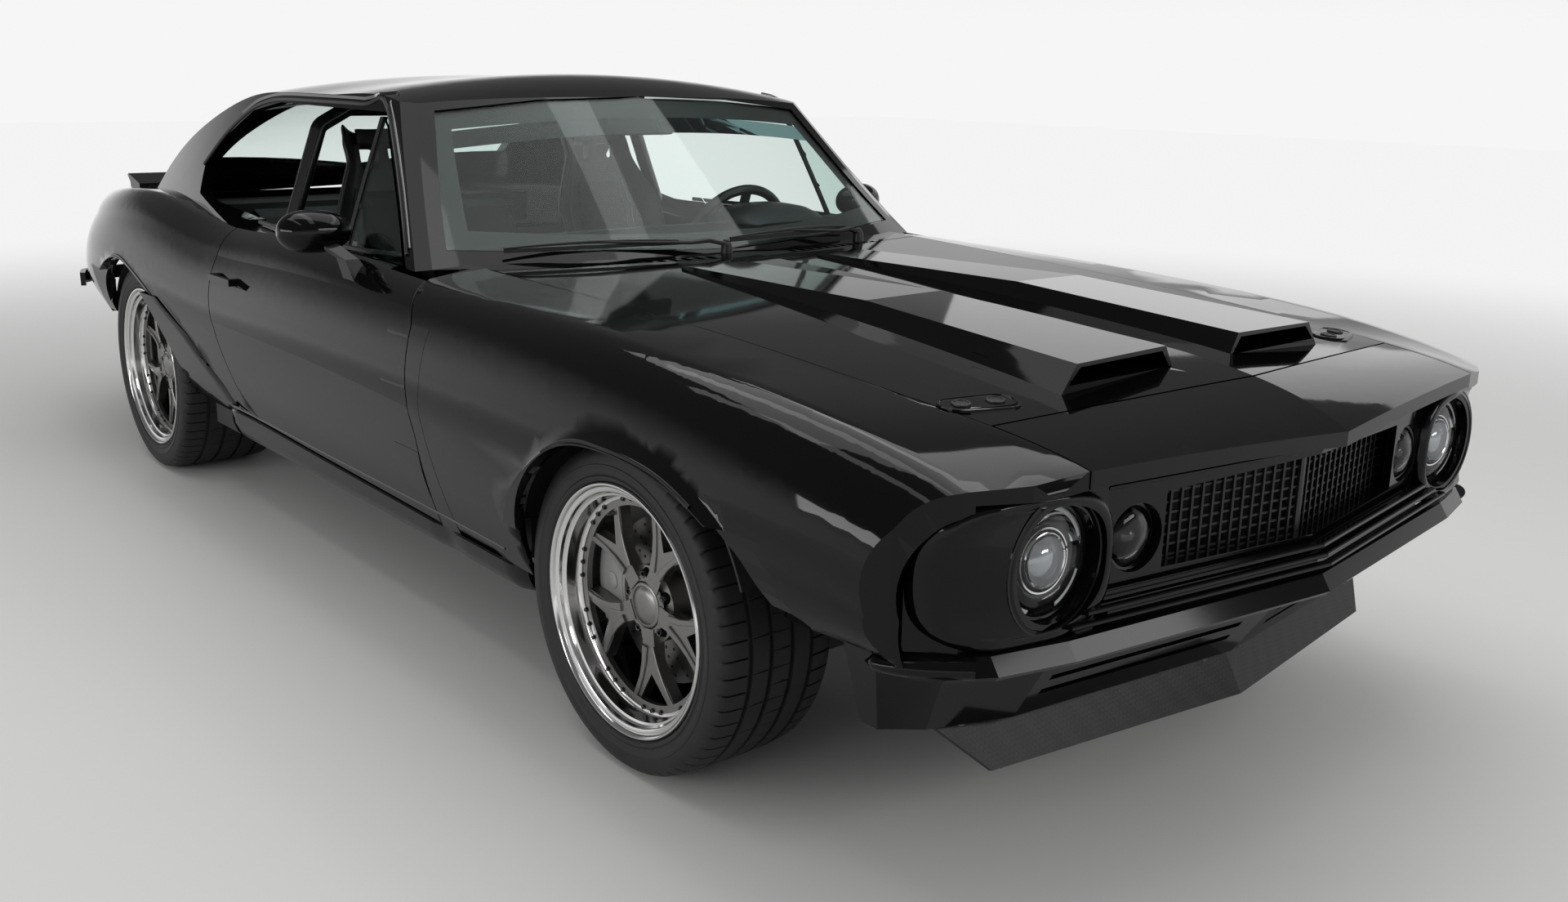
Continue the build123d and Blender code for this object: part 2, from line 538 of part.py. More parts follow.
# Trunk floor, with its step up from the cabin, the rear bulkhead, the parcel shelf and the exhaust hangers
riser = block(0, 472, 2370, 2382, 236, 512)
trunk_floor = block(0, 472, 2382, 3650, 500, 512)
bulkhead = block(0, 470, 2782, 2794, 512, 850) + block(0, 600, 2782, 2794, 740, 850)
shelf = block(0, 600, 2782, 3010, 838, 850)
hanger = block(205, 225, 3540, 3570, 224, 502)
trunk_half = fused([riser, trunk_floor, bulkhead, shelf, hanger]) - block(-5, 106, 2300, 2390, 230, 428) - quarter
export("trunk_floor", fused([trunk_half, mirrored(trunk_half)]))

# Wheelhouses: thin round liners over the wheels, the rear ones closed on their inboard side
def liner(wheel, x_low, reach, walled):
    z = wheel["radius"]
    ring = axle_cylinder(wheel["back"], z, reach + 4, x_low, 850) - axle_cylinder(wheel["back"], z, reach, x_low - 5, 900)
    if walled:
        ring = ring + axle_cylinder(wheel["back"], z, reach + 4, x_low - 4, x_low)
    return ring - block(0, 1000, wheel["back"] - 500, wheel["back"] + 500, -200, z + 30)


front_liner = liner(FRONT_WHEEL, 560, 385, False) - fender - firewall_half - valance
rear_liner = liner(REAR_WHEEL, 480, 372, True) - quarter - floor_half - trunk_half - block(470, 484, WHEELBASE - 75, WHEELBASE + 75, 0, 450)
export("wheel_liners", both(Compound(children=solids_of(front_liner) + solids_of(rear_liner))))

# Front subframe with its control arms and coil-over legs
AXLE_Z = FRONT_WHEEL["radius"]
TIE_DOWN_BACK, TIE_DOWN_R = -600.0, 12.5
rail = block(330, 390, -670, 560, 190, 262) - axle_cylinder(TIE_DOWN_BACK, 226, TIE_DOWN_R, 320, 400)
cross = block(0, 392, -70, 70, 150, 215)
tower = block(390, 432, -90, 90, 190, 480)
def control_arm(half_base, z_low, z_high):
    eye = KINGPIN_X + 14
    return plan_prism([(420, -half_base), (660, -30), (eye, -20), (eye, 20), (660, 30), (420, half_base),
                       (420, half_base - 45), (590, 0), (420, 45 - half_base)], z_low, z_high)


STUD_R = 8.0
arms = control_arm(110, 186, 209) + control_arm(95, 441, 461)
arms = arms - Pos(KINGPIN_X, y_at(0), 325) * Cylinder(STUD_R + 0.05, 400)
rear_legs = block(330, 390, 540, 760, 190, 236)
subframe_half = fused([rail, cross, tower, arms, rear_legs])
export("subframe", fused([subframe_half, mirrored(subframe_half)]))

# Powertrain: engine as one block, gearbox and prop shaft
engine = block(-260, 260, -420, 330, 262, 690)
gearbox = Pos(0, y_at(560), 318) * (Rot(90, 0, 0) * Cone(62, 96, 470))
mounts = block(-388, 388, -60, 0, 262, 300)
shaft_start, shaft_end = Vector(0, y_at(780), 318), Vector(0, y_at(2620), 339)
shaft = Solid.make_cylinder(36, (shaft_end - shaft_start).length, Plane(shaft_start, z_dir=shaft_end - shaft_start))
export("powertrain", fused([engine, mounts, gearbox, shaft]))

radiator = block(-396, 396, -700, -640, 298, 690)
support = block(-470, 470, -712, -700, 310, 690) + block(-390, -330, -670, -640, 262, 300) + block(330, 390, -670, -640, 262, 300)
export("radiator", (radiator + support) - valance - mirrored(valance))

# Exhaust: two pipes with flat mufflers, under the floor to the tail
down = Pos(215, y_at(300), 229) * Cylinder(22, 66)
pipe = (Pos(215, y_at(1930), 196) * (Rot(90, 0, 0) * Cylinder(28, 3300))) + down
muffler = block(130, 300, 1500, 1950, 156, 236)
export("exhaust", both(pipe + muffler))
tank = block(-360, 360, 3040, 3480, 300, 500)
export("fuel_tank", tank)


# Rear axle: tube, differential housing, spindles, calipers and leaf springs
def spindle(wheel):
    """Stub axle that the hub turns on, from inside the wheel's bore inboard."""
    return axle_cylinder(wheel["back"], wheel["radius"], 30, wheel["outer"] - 190, wheel["outer"] - 84)


def caliper(wheel, facing):
    """Caliper block bridging the disc, on the side that faces along the car."""
    z = wheel["radius"]
    outer_x = wheel["outer"] - 96
    ring = axle_cylinder(wheel["back"], z, 200, outer_x - 66, outer_x) - axle_cylinder(wheel["back"], z, 112, 0, 1000)
    wedge = side_prism([(wheel["back"], z), (wheel["back"] + facing * 300, z + 120), (wheel["back"] + facing * 300, z - 150)],
                       0, 1000)
    disc_gap = axle_cylinder(wheel["back"], z, 172, outer_x - 50, outer_x - 14)
    return (ring & wedge) - disc_gap


axle_tube = axle_cylinder(WHEELBASE, REAR_WHEEL["radius"], 40, -670, 670)
rear_carrier = block(650, 704, WHEELBASE, WHEELBASE + 150, 300, 380)
diff = Pos(0, y_at(WHEELBASE), REAR_WHEEL["radius"]) * (Rot(90, 0, 0) * Cylinder(120, 190))
leaf = block(425, 465, 2395, 3420, 288, 304)
leaf_hangers = fused([block(425, 465, 2395, 2415, 288, 500), block(425, 465, 3400, 3420, 288, 500)])
axle_half = fused([spindle(REAR_WHEEL), rear_carrier, caliper(REAR_WHEEL, 1), leaf, leaf_hangers])
export("rear_axle", fused([axle_tube, diff, axle_half, mirrored(axle_half)]))

# Steering knuckles: upright with ball studs, spindle and caliper
upright = block(KINGPIN_X - 20, KINGPIN_X + 14, -34, 34, 214, 436)
studs = Pos(KINGPIN_X, y_at(0), 325) * Cylinder(STUD_R, 258)
carrier = block(KINGPIN_X - 18, KINGPIN_X + 10, 0, 150, AXLE_Z - 60, AXLE_Z + 40)
knuckle = fused([upright, studs, spindle(FRONT_WHEEL), carrier, caliper(FRONT_WHEEL, 1)])
export("knuckle_left", knuckle)
export("knuckle_right", mirrored(knuckle))


# Wheels: rim with a deep stepped lip, ten spoke tips in five pairs, lug pockets, cap and drilled disc; tyre on it
def revolved(points, wheel):
    """Ring of revolution of (inboard distance, radius) points about the axle."""
    face = Face(Wire.make_polygon([Vector(-a, 0, r) for a, r in points], close=True))
    return Pos(wheel["outer"], y_at(wheel["back"]), wheel["radius"]) * Solid.revolve(face, 360, Axis.X)


PAIR_ANGLES = [63 + 72 * k for k in range(5)]
TIP_SPREAD = 18.0
RING_INSET = 62.0
LUG_CIRCLE_R = 60.3


def rim_solid(wheel):
    w, lip = wheel["width"], wheel["rim"]
    seat = lip - 18
    well = seat - 8
    barrel = revolved([(9, lip), (18, lip), (19, seat), (w - 19, seat), (w - 18, lip), (w - 9, lip), (w - 14, well),
                       (RING_INSET + 12, well), (RING_INSET + 12, well - 26), (RING_INSET, well - 26), (RING_INSET - 3, well - 3),
                       (30, well), (14, lip - 10)], wheel)
    hub = revolved([(70, 0), (73, 38), (80, 76), (140, 78), (140, 0)], wheel)
    spokes = []
    for angle in PAIR_ANGLES:
        def at(radius, turn):
            a = radians(angle + turn)
            return (-radius * cos(a), radius * sin(a))
        outline = [at(50, -24), at(112, -9), at(well - 14, -TIP_SPREAD - 3.2), at(well - 14, -TIP_SPREAD + 3.2),
                   at(136, 0), at(well - 14, TIP_SPREAD - 3.2), at(well - 14, TIP_SPREAD + 3.2), at(112, 9), at(50, 24)]
        spokes.append(side_prism([(wheel["back"] + b, wheel["radius"] + z) for b, z in outline],
                                 wheel["outer"] - 90, wheel["outer"] - 66))
    disc = axle_cylinder(wheel["back"], wheel["radius"], 165, wheel["outer"] - 140, wheel["outer"] - 116)
    solid = fused([hub, disc] + spokes + [barrel])
    solid = solid - axle_cylinder(wheel["back"], wheel["radius"], 30.06, wheel["outer"] - 200, wheel["outer"] - 82)
    for k in range(5):
        a = radians(PAIR_ANGLES[k] + 36)
        centre = Pos(wheel["outer"] - 84, y_at(wheel["back"] - LUG_CIRCLE_R * cos(a)), wheel["radius"] + LUG_CIRCLE_R * sin(a))
        solid = solid - centre * (Rot(0, 90, 0) * Cylinder(12, 30))
        solid = solid + Pos(-12, 0, 0) * (centre * (Rot(0, 90, 0) * Cylinder(9, 22)))
    return solid


def tyre_solid(wheel):
    w, r, lip = wheel["width"], wheel["radius"], wheel["rim"]
    seat = lip - 18

    def p(inset, radius):
        return Vector(-inset, 0, radius)
    edges = [
        Line(p(19, seat), p(19, lip)),
        Line(p(19, lip), p(8, lip + 5)),
        ThreePointArc(p(8, lip + 5), p(0, (lip + r) / 2), p(12, r - 20)),
        ThreePointArc(p(12, r - 20), p(20, r - 6), p(38, r - 1)),
        Line(p(38, r - 1), p(w / 2, r)),
        Line(p(w / 2, r), p(w - 38, r - 1)),
        ThreePointArc(p(w - 38, r - 1), p(w - 20, r - 6), p(w - 12, r - 20)),
        ThreePointArc(p(w - 12, r - 20), p(w, (lip + r) / 2), p(w - 8, lip + 5)),
        Line(p(w - 8, lip + 5), p(w - 19, lip)),
        Line(p(w - 19, lip), p(w - 19, seat)),
        Line(p(w - 19, seat), p(19, seat)),
    ]
    ring = Solid.revolve(Face(Wire(edges)), 360, Axis.X)
    return Pos(wheel["outer"], y_at(wheel["back"]), r) * ring


for place, wheel in (("front", FRONT_WHEEL), ("rear", REAR_WHEEL)):
    rim, tyre = rim_solid(wheel), tyre_solid(wheel)
    export("rim_" + place + "_left", rim)
    export("rim_" + place + "_right", mirrored(rim))
    export("tyre_" + place + "_left", tyre)
    export("tyre_" + place + "_right", mirrored(tyre))

# Rear bumper on two brackets from the tail panel
bracket = block(380, 430, 3686, 3732, 510, 546)
export("rear_bumper", fused([rear_bumper, bracket, mirrored(bracket)]) - fused([tail_half, mirrored(tail_half)]) - both(quarter))

# Cabin: dashboard, steering wheel on its column, seats, roll hoop, inner mirror, wipers
dash_outline = [(800, 838), (800, 862), (1035, 908), (1085, 890), (1092, 800), (1060, 690), (980, 640), (800, 700)]
dash = side_prism(dash_outline, 0, 676)
SEAT_X = 370.0
WHEEL_TILT = 20.0
wheel_centre = (SEAT_X, 1200.0, 815.0)
column_direction = Vector(0, cos(radians(WHEEL_TILT)), sin(radians(WHEEL_TILT)))
hub_point = Vector(wheel_centre[0], y_at(wheel_centre[1]), wheel_centre[2])
column_start = hub_point - column_direction * 240
column = Solid.make_cylinder(26, 180, Plane(column_start, z_dir=column_direction))
dash_whole = fused([dash, mirrored(dash), column])
dash_bore = Solid.make_cylinder(10.06, 100, Plane(hub_point - column_direction * 130, z_dir=column_direction))
neighbours = [floor_half, firewall_half, cowl_half, fender, shell, screen]
dash_whole = dash_whole - dash_bore
for neighbour in neighbours:
    dash_whole = dash_whole - neighbour - mirrored(neighbour)
export("dashboard", dash_whole)
wheel_plane = Plane(hub_point, x_dir=Vector(1, 0, 0), z_dir=column_direction)
rim_ring = wheel_plane.location * Torus(178, 14)
boss = wheel_plane.location * Cylinder(42, 36)
spoke_bars = [wheel_plane.location * (Rot(0, 0, turn) * (Pos(92, 0, 0) * Box(160, 30, 8))) for turn in (0, 180, 270)]
stub = Solid.make_cylinder(10, 110, Plane(hub_point - column_direction * 118, z_dir=column_direction))
export("steering_wheel", fused([rim_ring, boss, stub] + spoke_bars))

seat_side = [(1340, 262), (1330, 400), (1370, 430), (1700, 392), (1800, 420), (1920, 860), (1945, 1100), (1985, 1122),
             (2035, 1092), (2045, 900), (1960, 480), (1900, 300), (1880, 262)]
bolster_side = [(1340, 262), (1328, 430), (1380, 470), (1660, 470), (1720, 560), (1860, 880), (1925, 900),
                (2050, 860), (1960, 480), (1900, 300), (1880, 262)]
seat = fused([side_prism(seat_side, SEAT_X - 150, SEAT_X + 150), side_prism(bolster_side, SEAT_X + 150, SEAT_X + 205),
              side_prism(bolster_side, SEAT_X - 205, SEAT_X - 150)])
seat_rails = fused([block(SEAT_X - 170, SEAT_X - 140, 1400, 1850, 247, 262), block(SEAT_X + 140, SEAT_X + 170, 1400, 1850, 247, 262)])
export("front_seats", both(fused([seat, seat_rails])))
bench_side = [(2240, 440), (2240, 530), (2280, 550), (2560, 520), (2680, 812), (2740, 834), (2778, 810), (2760, 512), (2366, 512),
              (2366, 440)]
bench = side_prism(bench_side, 0, 470)
bench_foot = block(118, 470, 2250, 2366, 247, 440)
export("rear_seat", fused([bench, bench_foot, mirrored(bench), mirrored(bench_foot)]))

hoop_half = [(-640, 248), (-640, 880), (-545, 1140), (-455, 1188)]
hoop_points = [Vector(x, y_at(1975), z) for x, z in hoop_half] + [Vector(-x, y_at(1975), z) for x, z in reversed(hoop_half)]
hoop_path = FilletPolyline(*hoop_points, radius=40)
hoop_start = Plane(hoop_points[0], z_dir=hoop_points[1] - hoop_points[0])
hoop = sweep(hoop_start * Circle(22), path=hoop_path)
hoop = hoop - block(-700, 700, 1900, 2050, 0, 247)
export("roll_hoop", hoop)

mirror_body = Pos(40, y_at(1225), 1168) * (Rot(-8, 0, 0) * Box(230, 22, 62))
mirror_stem = Pos(40, y_at(1210), 1212) * (Rot(20, 0, 0) * Box(18, 14, 70))
export("inner_mirror", fused([mirror_body, mirror_stem]) - shell - mirrored(shell) - screen - mirrored(screen))

# Wipers: arm and blade on a pivot, parked along the foot of the screen. Columns: pivot, blade's two ends
WIPERS = [
    ((-49, 700, 886), (-600, 834, 903), (-165, 744, 905)),
    ((440, 742, 884), (-20, 722, 905), (430, 786, 905)),
]


def rod(start, end, radius):
    a = Vector(start[0], y_at(start[1]), start[2])
    b = Vector(end[0], y_at(end[1]), end[2])
    return Solid.make_cylinder(radius, (b - a).length, Plane(a, z_dir=b - a))


def between(a, b, share):
    return tuple(p + (q - p) * share for p, q in zip(a, b))


wipers = []
for pivot, far_end, near_end in WIPERS:
    middle = between(far_end, near_end, 0.5)
    post = Pos(pivot[0], y_at(pivot[1]), pivot[2] - 10) * Cylinder(14, 34)
    wipers.append(fused([post, rod(pivot, middle, 5.5), rod(far_end, near_end, 6.5)]))
wiper_pair = Compound(children=[piece for whole in wipers for piece in solids_of(whole)])
for neighbour in (cowl_half, screen, shell):
    wiper_pair = wiper_pair - neighbour - mirrored(neighbour)
export("wipers", wiper_pair)
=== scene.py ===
import bmesh
import bpy
from math import cos, hypot, pi, radians, sin, sqrt
from mathutils import Matrix, Vector
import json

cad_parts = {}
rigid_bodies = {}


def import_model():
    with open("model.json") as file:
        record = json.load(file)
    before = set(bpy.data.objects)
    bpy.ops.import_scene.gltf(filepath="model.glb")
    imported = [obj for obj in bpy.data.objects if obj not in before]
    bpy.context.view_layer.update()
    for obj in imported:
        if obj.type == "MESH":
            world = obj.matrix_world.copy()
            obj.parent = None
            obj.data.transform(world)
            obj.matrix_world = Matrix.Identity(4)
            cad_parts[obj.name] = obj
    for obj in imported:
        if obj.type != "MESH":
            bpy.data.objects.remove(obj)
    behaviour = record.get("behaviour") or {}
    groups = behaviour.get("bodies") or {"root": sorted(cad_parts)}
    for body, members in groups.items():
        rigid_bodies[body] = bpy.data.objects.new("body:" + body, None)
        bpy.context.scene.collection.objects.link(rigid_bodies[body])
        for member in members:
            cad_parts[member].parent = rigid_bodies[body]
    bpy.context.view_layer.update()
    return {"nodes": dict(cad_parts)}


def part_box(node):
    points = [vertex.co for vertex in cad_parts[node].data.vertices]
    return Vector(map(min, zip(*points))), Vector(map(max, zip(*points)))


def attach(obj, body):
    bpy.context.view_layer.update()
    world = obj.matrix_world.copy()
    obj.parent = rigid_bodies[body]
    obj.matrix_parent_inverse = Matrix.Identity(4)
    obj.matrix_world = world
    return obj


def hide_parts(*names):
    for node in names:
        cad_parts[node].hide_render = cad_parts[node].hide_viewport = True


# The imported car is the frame: every CAD piece stays where it is. Blender's own starting objects go.
for stray in list(bpy.data.objects):
    bpy.data.objects.remove(stray)
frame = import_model()
nodes = frame["nodes"]
scene = bpy.context.scene
scene.view_settings.view_transform = "Standard"


# Studio floor: a plain pale painted floor, wide enough to carry the whole shadow.
# It is cast in one sheet and isn't part of the car.
def new_material(name):
    """An empty node material with a Principled shader, returned with its node tree and shader."""
    material = bpy.data.materials.new(name)
    material.use_nodes = True
    tree = material.node_tree
    return material, tree, tree.nodes["Principled BSDF"]


def link(tree, a, b):
    tree.links.new(a, b)


floor_mesh = bpy.data.meshes.new("studio_floor")
floor_grid = bmesh.new()
bmesh.ops.create_grid(floor_grid, x_segments=8, y_segments=8, size=30)
floor_grid.to_mesh(floor_mesh)
floor_grid.free()
studio_floor = bpy.data.objects.new("studio_floor", floor_mesh)
scene.collection.objects.link(studio_floor)
floor_paint, tree, shader = new_material("floor_paint")
shader.inputs["Base Color"].default_value = (0.7, 0.7, 0.69, 1)
shader.inputs["Roughness"].default_value = 0.55
shader.inputs["Specular IOR Level"].default_value = 0.25
floor_mix = tree.nodes.new("ShaderNodeMixShader")
floor_glow = tree.nodes.new("ShaderNodeEmission")
floor_glow.inputs["Color"].default_value = (0.9, 0.9, 0.9, 1)
floor_path = tree.nodes.new("ShaderNodeTexCoord")
floor_far = tree.nodes.new("ShaderNodeVectorMath")
floor_far.operation = "LENGTH"
link(tree, floor_path.outputs["Object"], floor_far.inputs[0])
floor_ramp = tree.nodes.new("ShaderNodeMapRange")
floor_ramp.interpolation_type = "SMOOTHSTEP"
floor_ramp.inputs["From Min"].default_value = 2.2
floor_ramp.inputs["From Max"].default_value = 8.5
link(tree, floor_far.outputs["Value"], floor_ramp.inputs["Value"])
floor_sight = tree.nodes.new("ShaderNodeLightPath")
floor_seen = tree.nodes.new("ShaderNodeMath")
floor_seen.operation = "MAXIMUM"
link(tree, floor_sight.outputs["Is Camera Ray"], floor_seen.inputs[0])
link(tree, floor_sight.outputs["Is Glossy Ray"], floor_seen.inputs[1])
floor_through = tree.nodes.new("ShaderNodeMath")
floor_through.operation = "MAXIMUM"
link(tree, floor_seen.outputs[0], floor_through.inputs[0])
link(tree, floor_sight.outputs["Is Transmission Ray"], floor_through.inputs[1])
floor_share = tree.nodes.new("ShaderNodeMath")
floor_share.operation = "MULTIPLY"
link(tree, floor_ramp.outputs["Result"], floor_share.inputs[0])
link(tree, floor_through.outputs[0], floor_share.inputs[1])
link(tree, floor_share.outputs[0], floor_mix.inputs["Fac"])
link(tree, shader.outputs["BSDF"], floor_mix.inputs[1])
link(tree, floor_glow.outputs["Emission"], floor_mix.inputs[2])
link(tree, floor_mix.outputs["Shader"], tree.nodes["Material Output"].inputs["Surface"])
floor_mesh.materials.append(floor_paint)

# Studio light: a white room seen by the camera, by gloss and through glass, a weaker fill for
# matt surfaces, and large soft boxes overhead and on both sides.
world = bpy.data.worlds.new("studio_world")
scene.world = world
world.use_nodes = True
tree = world.node_tree
sky = tree.nodes["Background"]
path = tree.nodes.new("ShaderNodeLightPath")
seen = tree.nodes.new("ShaderNodeMath")
seen.operation = "MAXIMUM"
link(tree, path.outputs["Is Camera Ray"], seen.inputs[0])
link(tree, path.outputs["Is Glossy Ray"], seen.inputs[1])
through = tree.nodes.new("ShaderNodeMath")
through.operation = "MAXIMUM"
link(tree, seen.outputs[0], through.inputs[0])
link(tree, path.outputs["Is Transmission Ray"], through.inputs[1])
sight = tree.nodes.new("ShaderNodeTexCoord")
height = tree.nodes.new("ShaderNodeSeparateXYZ")
link(tree, sight.outputs["Generated"], height.inputs[0])
wall = tree.nodes.new("ShaderNodeMapRange")
wall.interpolation_type = "SMOOTHSTEP"
wall.inputs["From Min"].default_value = 0.03
wall.inputs["From Max"].default_value = 0.3
wall.inputs["To Min"].default_value = 0.92
wall.inputs["To Max"].default_value = 0.16
link(tree, height.outputs["Z"], wall.inputs["Value"])
level = tree.nodes.new("ShaderNodeMix")
level.inputs["A"].default_value = 0.45
link(tree, through.outputs[0], level.inputs["Factor"])
link(tree, wall.outputs["Result"], level.inputs["B"])
link(tree, level.outputs["Result"], sky.inputs["Strength"])
sky.inputs["Color"].default_value = (1, 1, 1, 1)


def soft_box(name, place, aim, size_x, size_y, power):
    """A rectangular area lamp at place, turned to aim."""
    lamp = bpy.data.lights.new(name, "AREA")
    lamp.shape = "RECTANGLE"
    lamp.size = size_x
    lamp.size_y = size_y
    lamp.energy = power
    holder = bpy.data.objects.new(name, lamp)
    holder.location = place
    holder.rotation_euler = (Vector(aim) - Vector(place)).to_track_quat("-Z", "Y").to_euler()
    scene.collection.objects.link(holder)


soft_box("top_box", (0.3, -0.3, 3.6), (0, 0, 0.5), 2.6, 5.2, 70)
for number, x in enumerate((-1.9, -0.7, 0.8)):
    soft_box("ceiling_strip_%d" % number, (x, -0.6, 3.3), (x, -0.6, 0), 0.34, 3.6, 6)
soft_box("front_box", (1.6, -6.2, 2.6), (0, 0, 0.5), 3.2, 1.0, 50)
soft_box("near_side_box", (-6.0, -0.6, 1.9), (0, 0.2, 0.5), 6.5, 0.7, 80)
soft_box("far_side_box", (5.6, 0.8, 2.6), (0, 0, 0.6), 5.0, 1.4, 22)

# Camera at the photograph's angle: it stands left of the nose and looks slightly down.
TURN, FALL, ROLL = radians(40.61), radians(14.88), radians(1.075)
ahead = Vector((sin(TURN) * cos(FALL), cos(TURN) * cos(FALL), -sin(FALL)))
side = ahead.cross(Vector((0, 0, 1))).normalized()
up = side.cross(ahead)
side_rolled = cos(ROLL) * side + sin(ROLL) * up
up_rolled = cos(ROLL) * up - sin(ROLL) * side
lens = bpy.data.cameras.new("photo_camera")
lens.sensor_width = 36
lens.lens = 32.76
lens.clip_end = 200
photo_camera = bpy.data.objects.new("photo_camera", lens)
stand = Matrix((side_rolled, up_rolled, -ahead)).transposed().to_4x4()
stand.translation = Vector((-2.2576, -3.5106, 1.3142))
photo_camera.matrix_world = stand
scene.collection.objects.link(photo_camera)
scene.camera = photo_camera

# Body panels: pressed steel sprayed gloss black under clear coat, with a faint orange peel in the
# coat and a film of dust that dulls the gloss where it lies on top.
coat_film = bpy.data.node_groups.new("coat_film", "ShaderNodeTree")
for socket_name in ("Peel Scale", "Dust Amount"):
    coat_film.interface.new_socket(name=socket_name, in_out="INPUT", socket_type="NodeSocketFloat")
for socket_name in ("Peel", "Dust"):
    coat_film.interface.new_socket(name=socket_name, in_out="OUTPUT", socket_type="NodeSocketFloat")
film_in = coat_film.nodes.new("NodeGroupInput")
film_out = coat_film.nodes.new("NodeGroupOutput")
film_place = coat_film.nodes.new("ShaderNodeTexCoord")
peel = coat_film.nodes.new("ShaderNodeTexNoise")
peel.inputs["Detail"].default_value = 2
link(coat_film, film_place.outputs["Object"], peel.inputs["Vector"])
link(coat_film, film_in.outputs["Peel Scale"], peel.inputs["Scale"])
link(coat_film, peel.outputs["Fac"], film_out.inputs["Peel"])
cloud = coat_film.nodes.new("ShaderNodeTexNoise")
cloud.inputs["Scale"].default_value = 3.5
cloud.inputs["Detail"].default_value = 8
cloud.inputs["Roughness"].default_value = 0.65
link(coat_film, film_place.outputs["Object"], cloud.inputs["Vector"])
facing = coat_film.nodes.new("ShaderNodeNewGeometry")
split = coat_film.nodes.new("ShaderNodeSeparateXYZ")
link(coat_film, facing.outputs["Normal"], split.inputs[0])
upward = coat_film.nodes.new("ShaderNodeMapRange")
upward.inputs["From Min"].default_value = 0.1
upward.inputs["From Max"].default_value = 1.0
link(coat_film, split.outputs["Z"], upward.inputs["Value"])
lying = coat_film.nodes.new("ShaderNodeMath")
lying.operation = "MULTIPLY"
link(coat_film, upward.outputs["Result"], lying.inputs[0])
link(coat_film, cloud.outputs["Fac"], lying.inputs[1])
dusty = coat_film.nodes.new("ShaderNodeMath")
dusty.operation = "MULTIPLY"
link(coat_film, lying.outputs[0], dusty.inputs[0])
link(coat_film, film_in.outputs["Dust Amount"], dusty.inputs[1])
link(coat_film, dusty.outputs[0], film_out.inputs["Dust"])


def coated(name, colour, dust_colour, rough, peel_scale, peel_height, dust, coat=0.0, metal=0.0,
           ior=1.45):
    """A lacquered, moulded or cast finish: colour under dust, roughness that dust raises, a fine bump."""
    material, tree, shader = new_material(name)
    film = tree.nodes.new("ShaderNodeGroup")
    film.node_tree = coat_film
    film.inputs["Peel Scale"].default_value = peel_scale
    film.inputs["Dust Amount"].default_value = dust
    tint = tree.nodes.new("ShaderNodeMix")
    tint.data_type = "RGBA"
    tint.inputs["A"].default_value = (*colour, 1)
    tint.inputs["B"].default_value = (*dust_colour, 1)
    link(tree, film.outputs["Dust"], tint.inputs["Factor"])
    link(tree, tint.outputs["Result"], shader.inputs["Base Color"])
    dull = tree.nodes.new("ShaderNodeMapRange")
    dull.inputs["To Min"].default_value = rough
    dull.inputs["To Max"].default_value = min(1.0, rough + 0.35)
    link(tree, film.outputs["Dust"], dull.inputs["Value"])
    link(tree, dull.outputs["Result"], shader.inputs["Roughness"])
    ripple = tree.nodes.new("ShaderNodeBump")
    ripple.inputs["Strength"].default_value = 0.35
    ripple.inputs["Distance"].default_value = peel_height
    link(tree, film.outputs["Peel"], ripple.inputs["Height"])
    link(tree, ripple.outputs["Normal"], shader.inputs["Normal"])
    shader.inputs["Coat Weight"].default_value = coat
    shader.inputs["Coat Roughness"].default_value = 0.03
    shader.inputs["Metallic"].default_value = metal
    shader.inputs["IOR"].default_value = ior
    return material


gloss_black = coated("gloss_black", (0.0016, 0.0016, 0.0018), (0.05, 0.046, 0.042), 0.04, 160, 0.00001,
                     0.03,
                     ior=1.34)


def finish_node(node_name, material, bevel=0.0, angle=32):
    """Gives a CAD node its finish and, where asked, rounded edges."""
    node = nodes[node_name]
    node.data.materials.clear()
    node.data.materials.append(material)
    if bevel:
        edge = node.modifiers.new("rounded_edge", "BEVEL")
        edge.width = bevel
        edge.segments = 2
        edge.limit_method = "ANGLE"
        edge.angle_limit = radians(angle)
        edge.harden_normals = True
        edge.use_clamp_overlap = True
    return node


for panel in ("fenders", "header_panel", "hood", "cowl_panel", "door_left", "door_right", "quarters",
              "trunk_lid",
              "tail_panel", "roof", "mirror_left", "mirror_right"):
    finish_node(panel, gloss_black)

# Nose frame, bumpers and lower valance: moulded plastic and rolled steel in the body's gloss black.
moulded_black = coated("moulded_black", (0.002, 0.002, 0.0022), (0.06, 0.056, 0.052), 0.09, 420, 0.00002,
                       0.05,
                       ior=1.34)
for piece in ("nose_frame", "front_bumper", "rear_bumper", "front_valance"):
    finish_node(piece, moulded_black)

# Black trim: satin plastic and rubber for the grille, the inner mirror and the window channels.
satin_trim = coated("satin_trim", (0.007, 0.007, 0.0075), (0.10, 0.095, 0.09), 0.4, 900, 0.00012, 0.12,
                    ior=1.4)
for piece in ("grille", "inner_mirror"):
    finish_node(piece, satin_trim)

# Underside: welded steel in satin chassis black, with road dust on it.
chassis_black = coated("chassis_black", (0.012, 0.012, 0.013), (0.13, 0.115, 0.10), 0.5, 380, 0.0004, 0.4)
for piece in ("floor_pan", "firewall", "trunk_floor", "wheel_liners", "subframe", "radiator",
              "fuel_tank"):
    finish_node(piece, chassis_black)

# Castings and exhaust: iron, aluminium and steel left bare, with a sandy skin.
cast_iron = coated("cast_iron", (0.13, 0.127, 0.122), (0.18, 0.155, 0.13), 0.5, 620, 0.0006, 0.35,
                   metal=0.7)
for piece in ("powertrain", "rear_axle", "knuckle_left", "knuckle_right", "exhaust"):
    finish_node(piece, cast_iron)

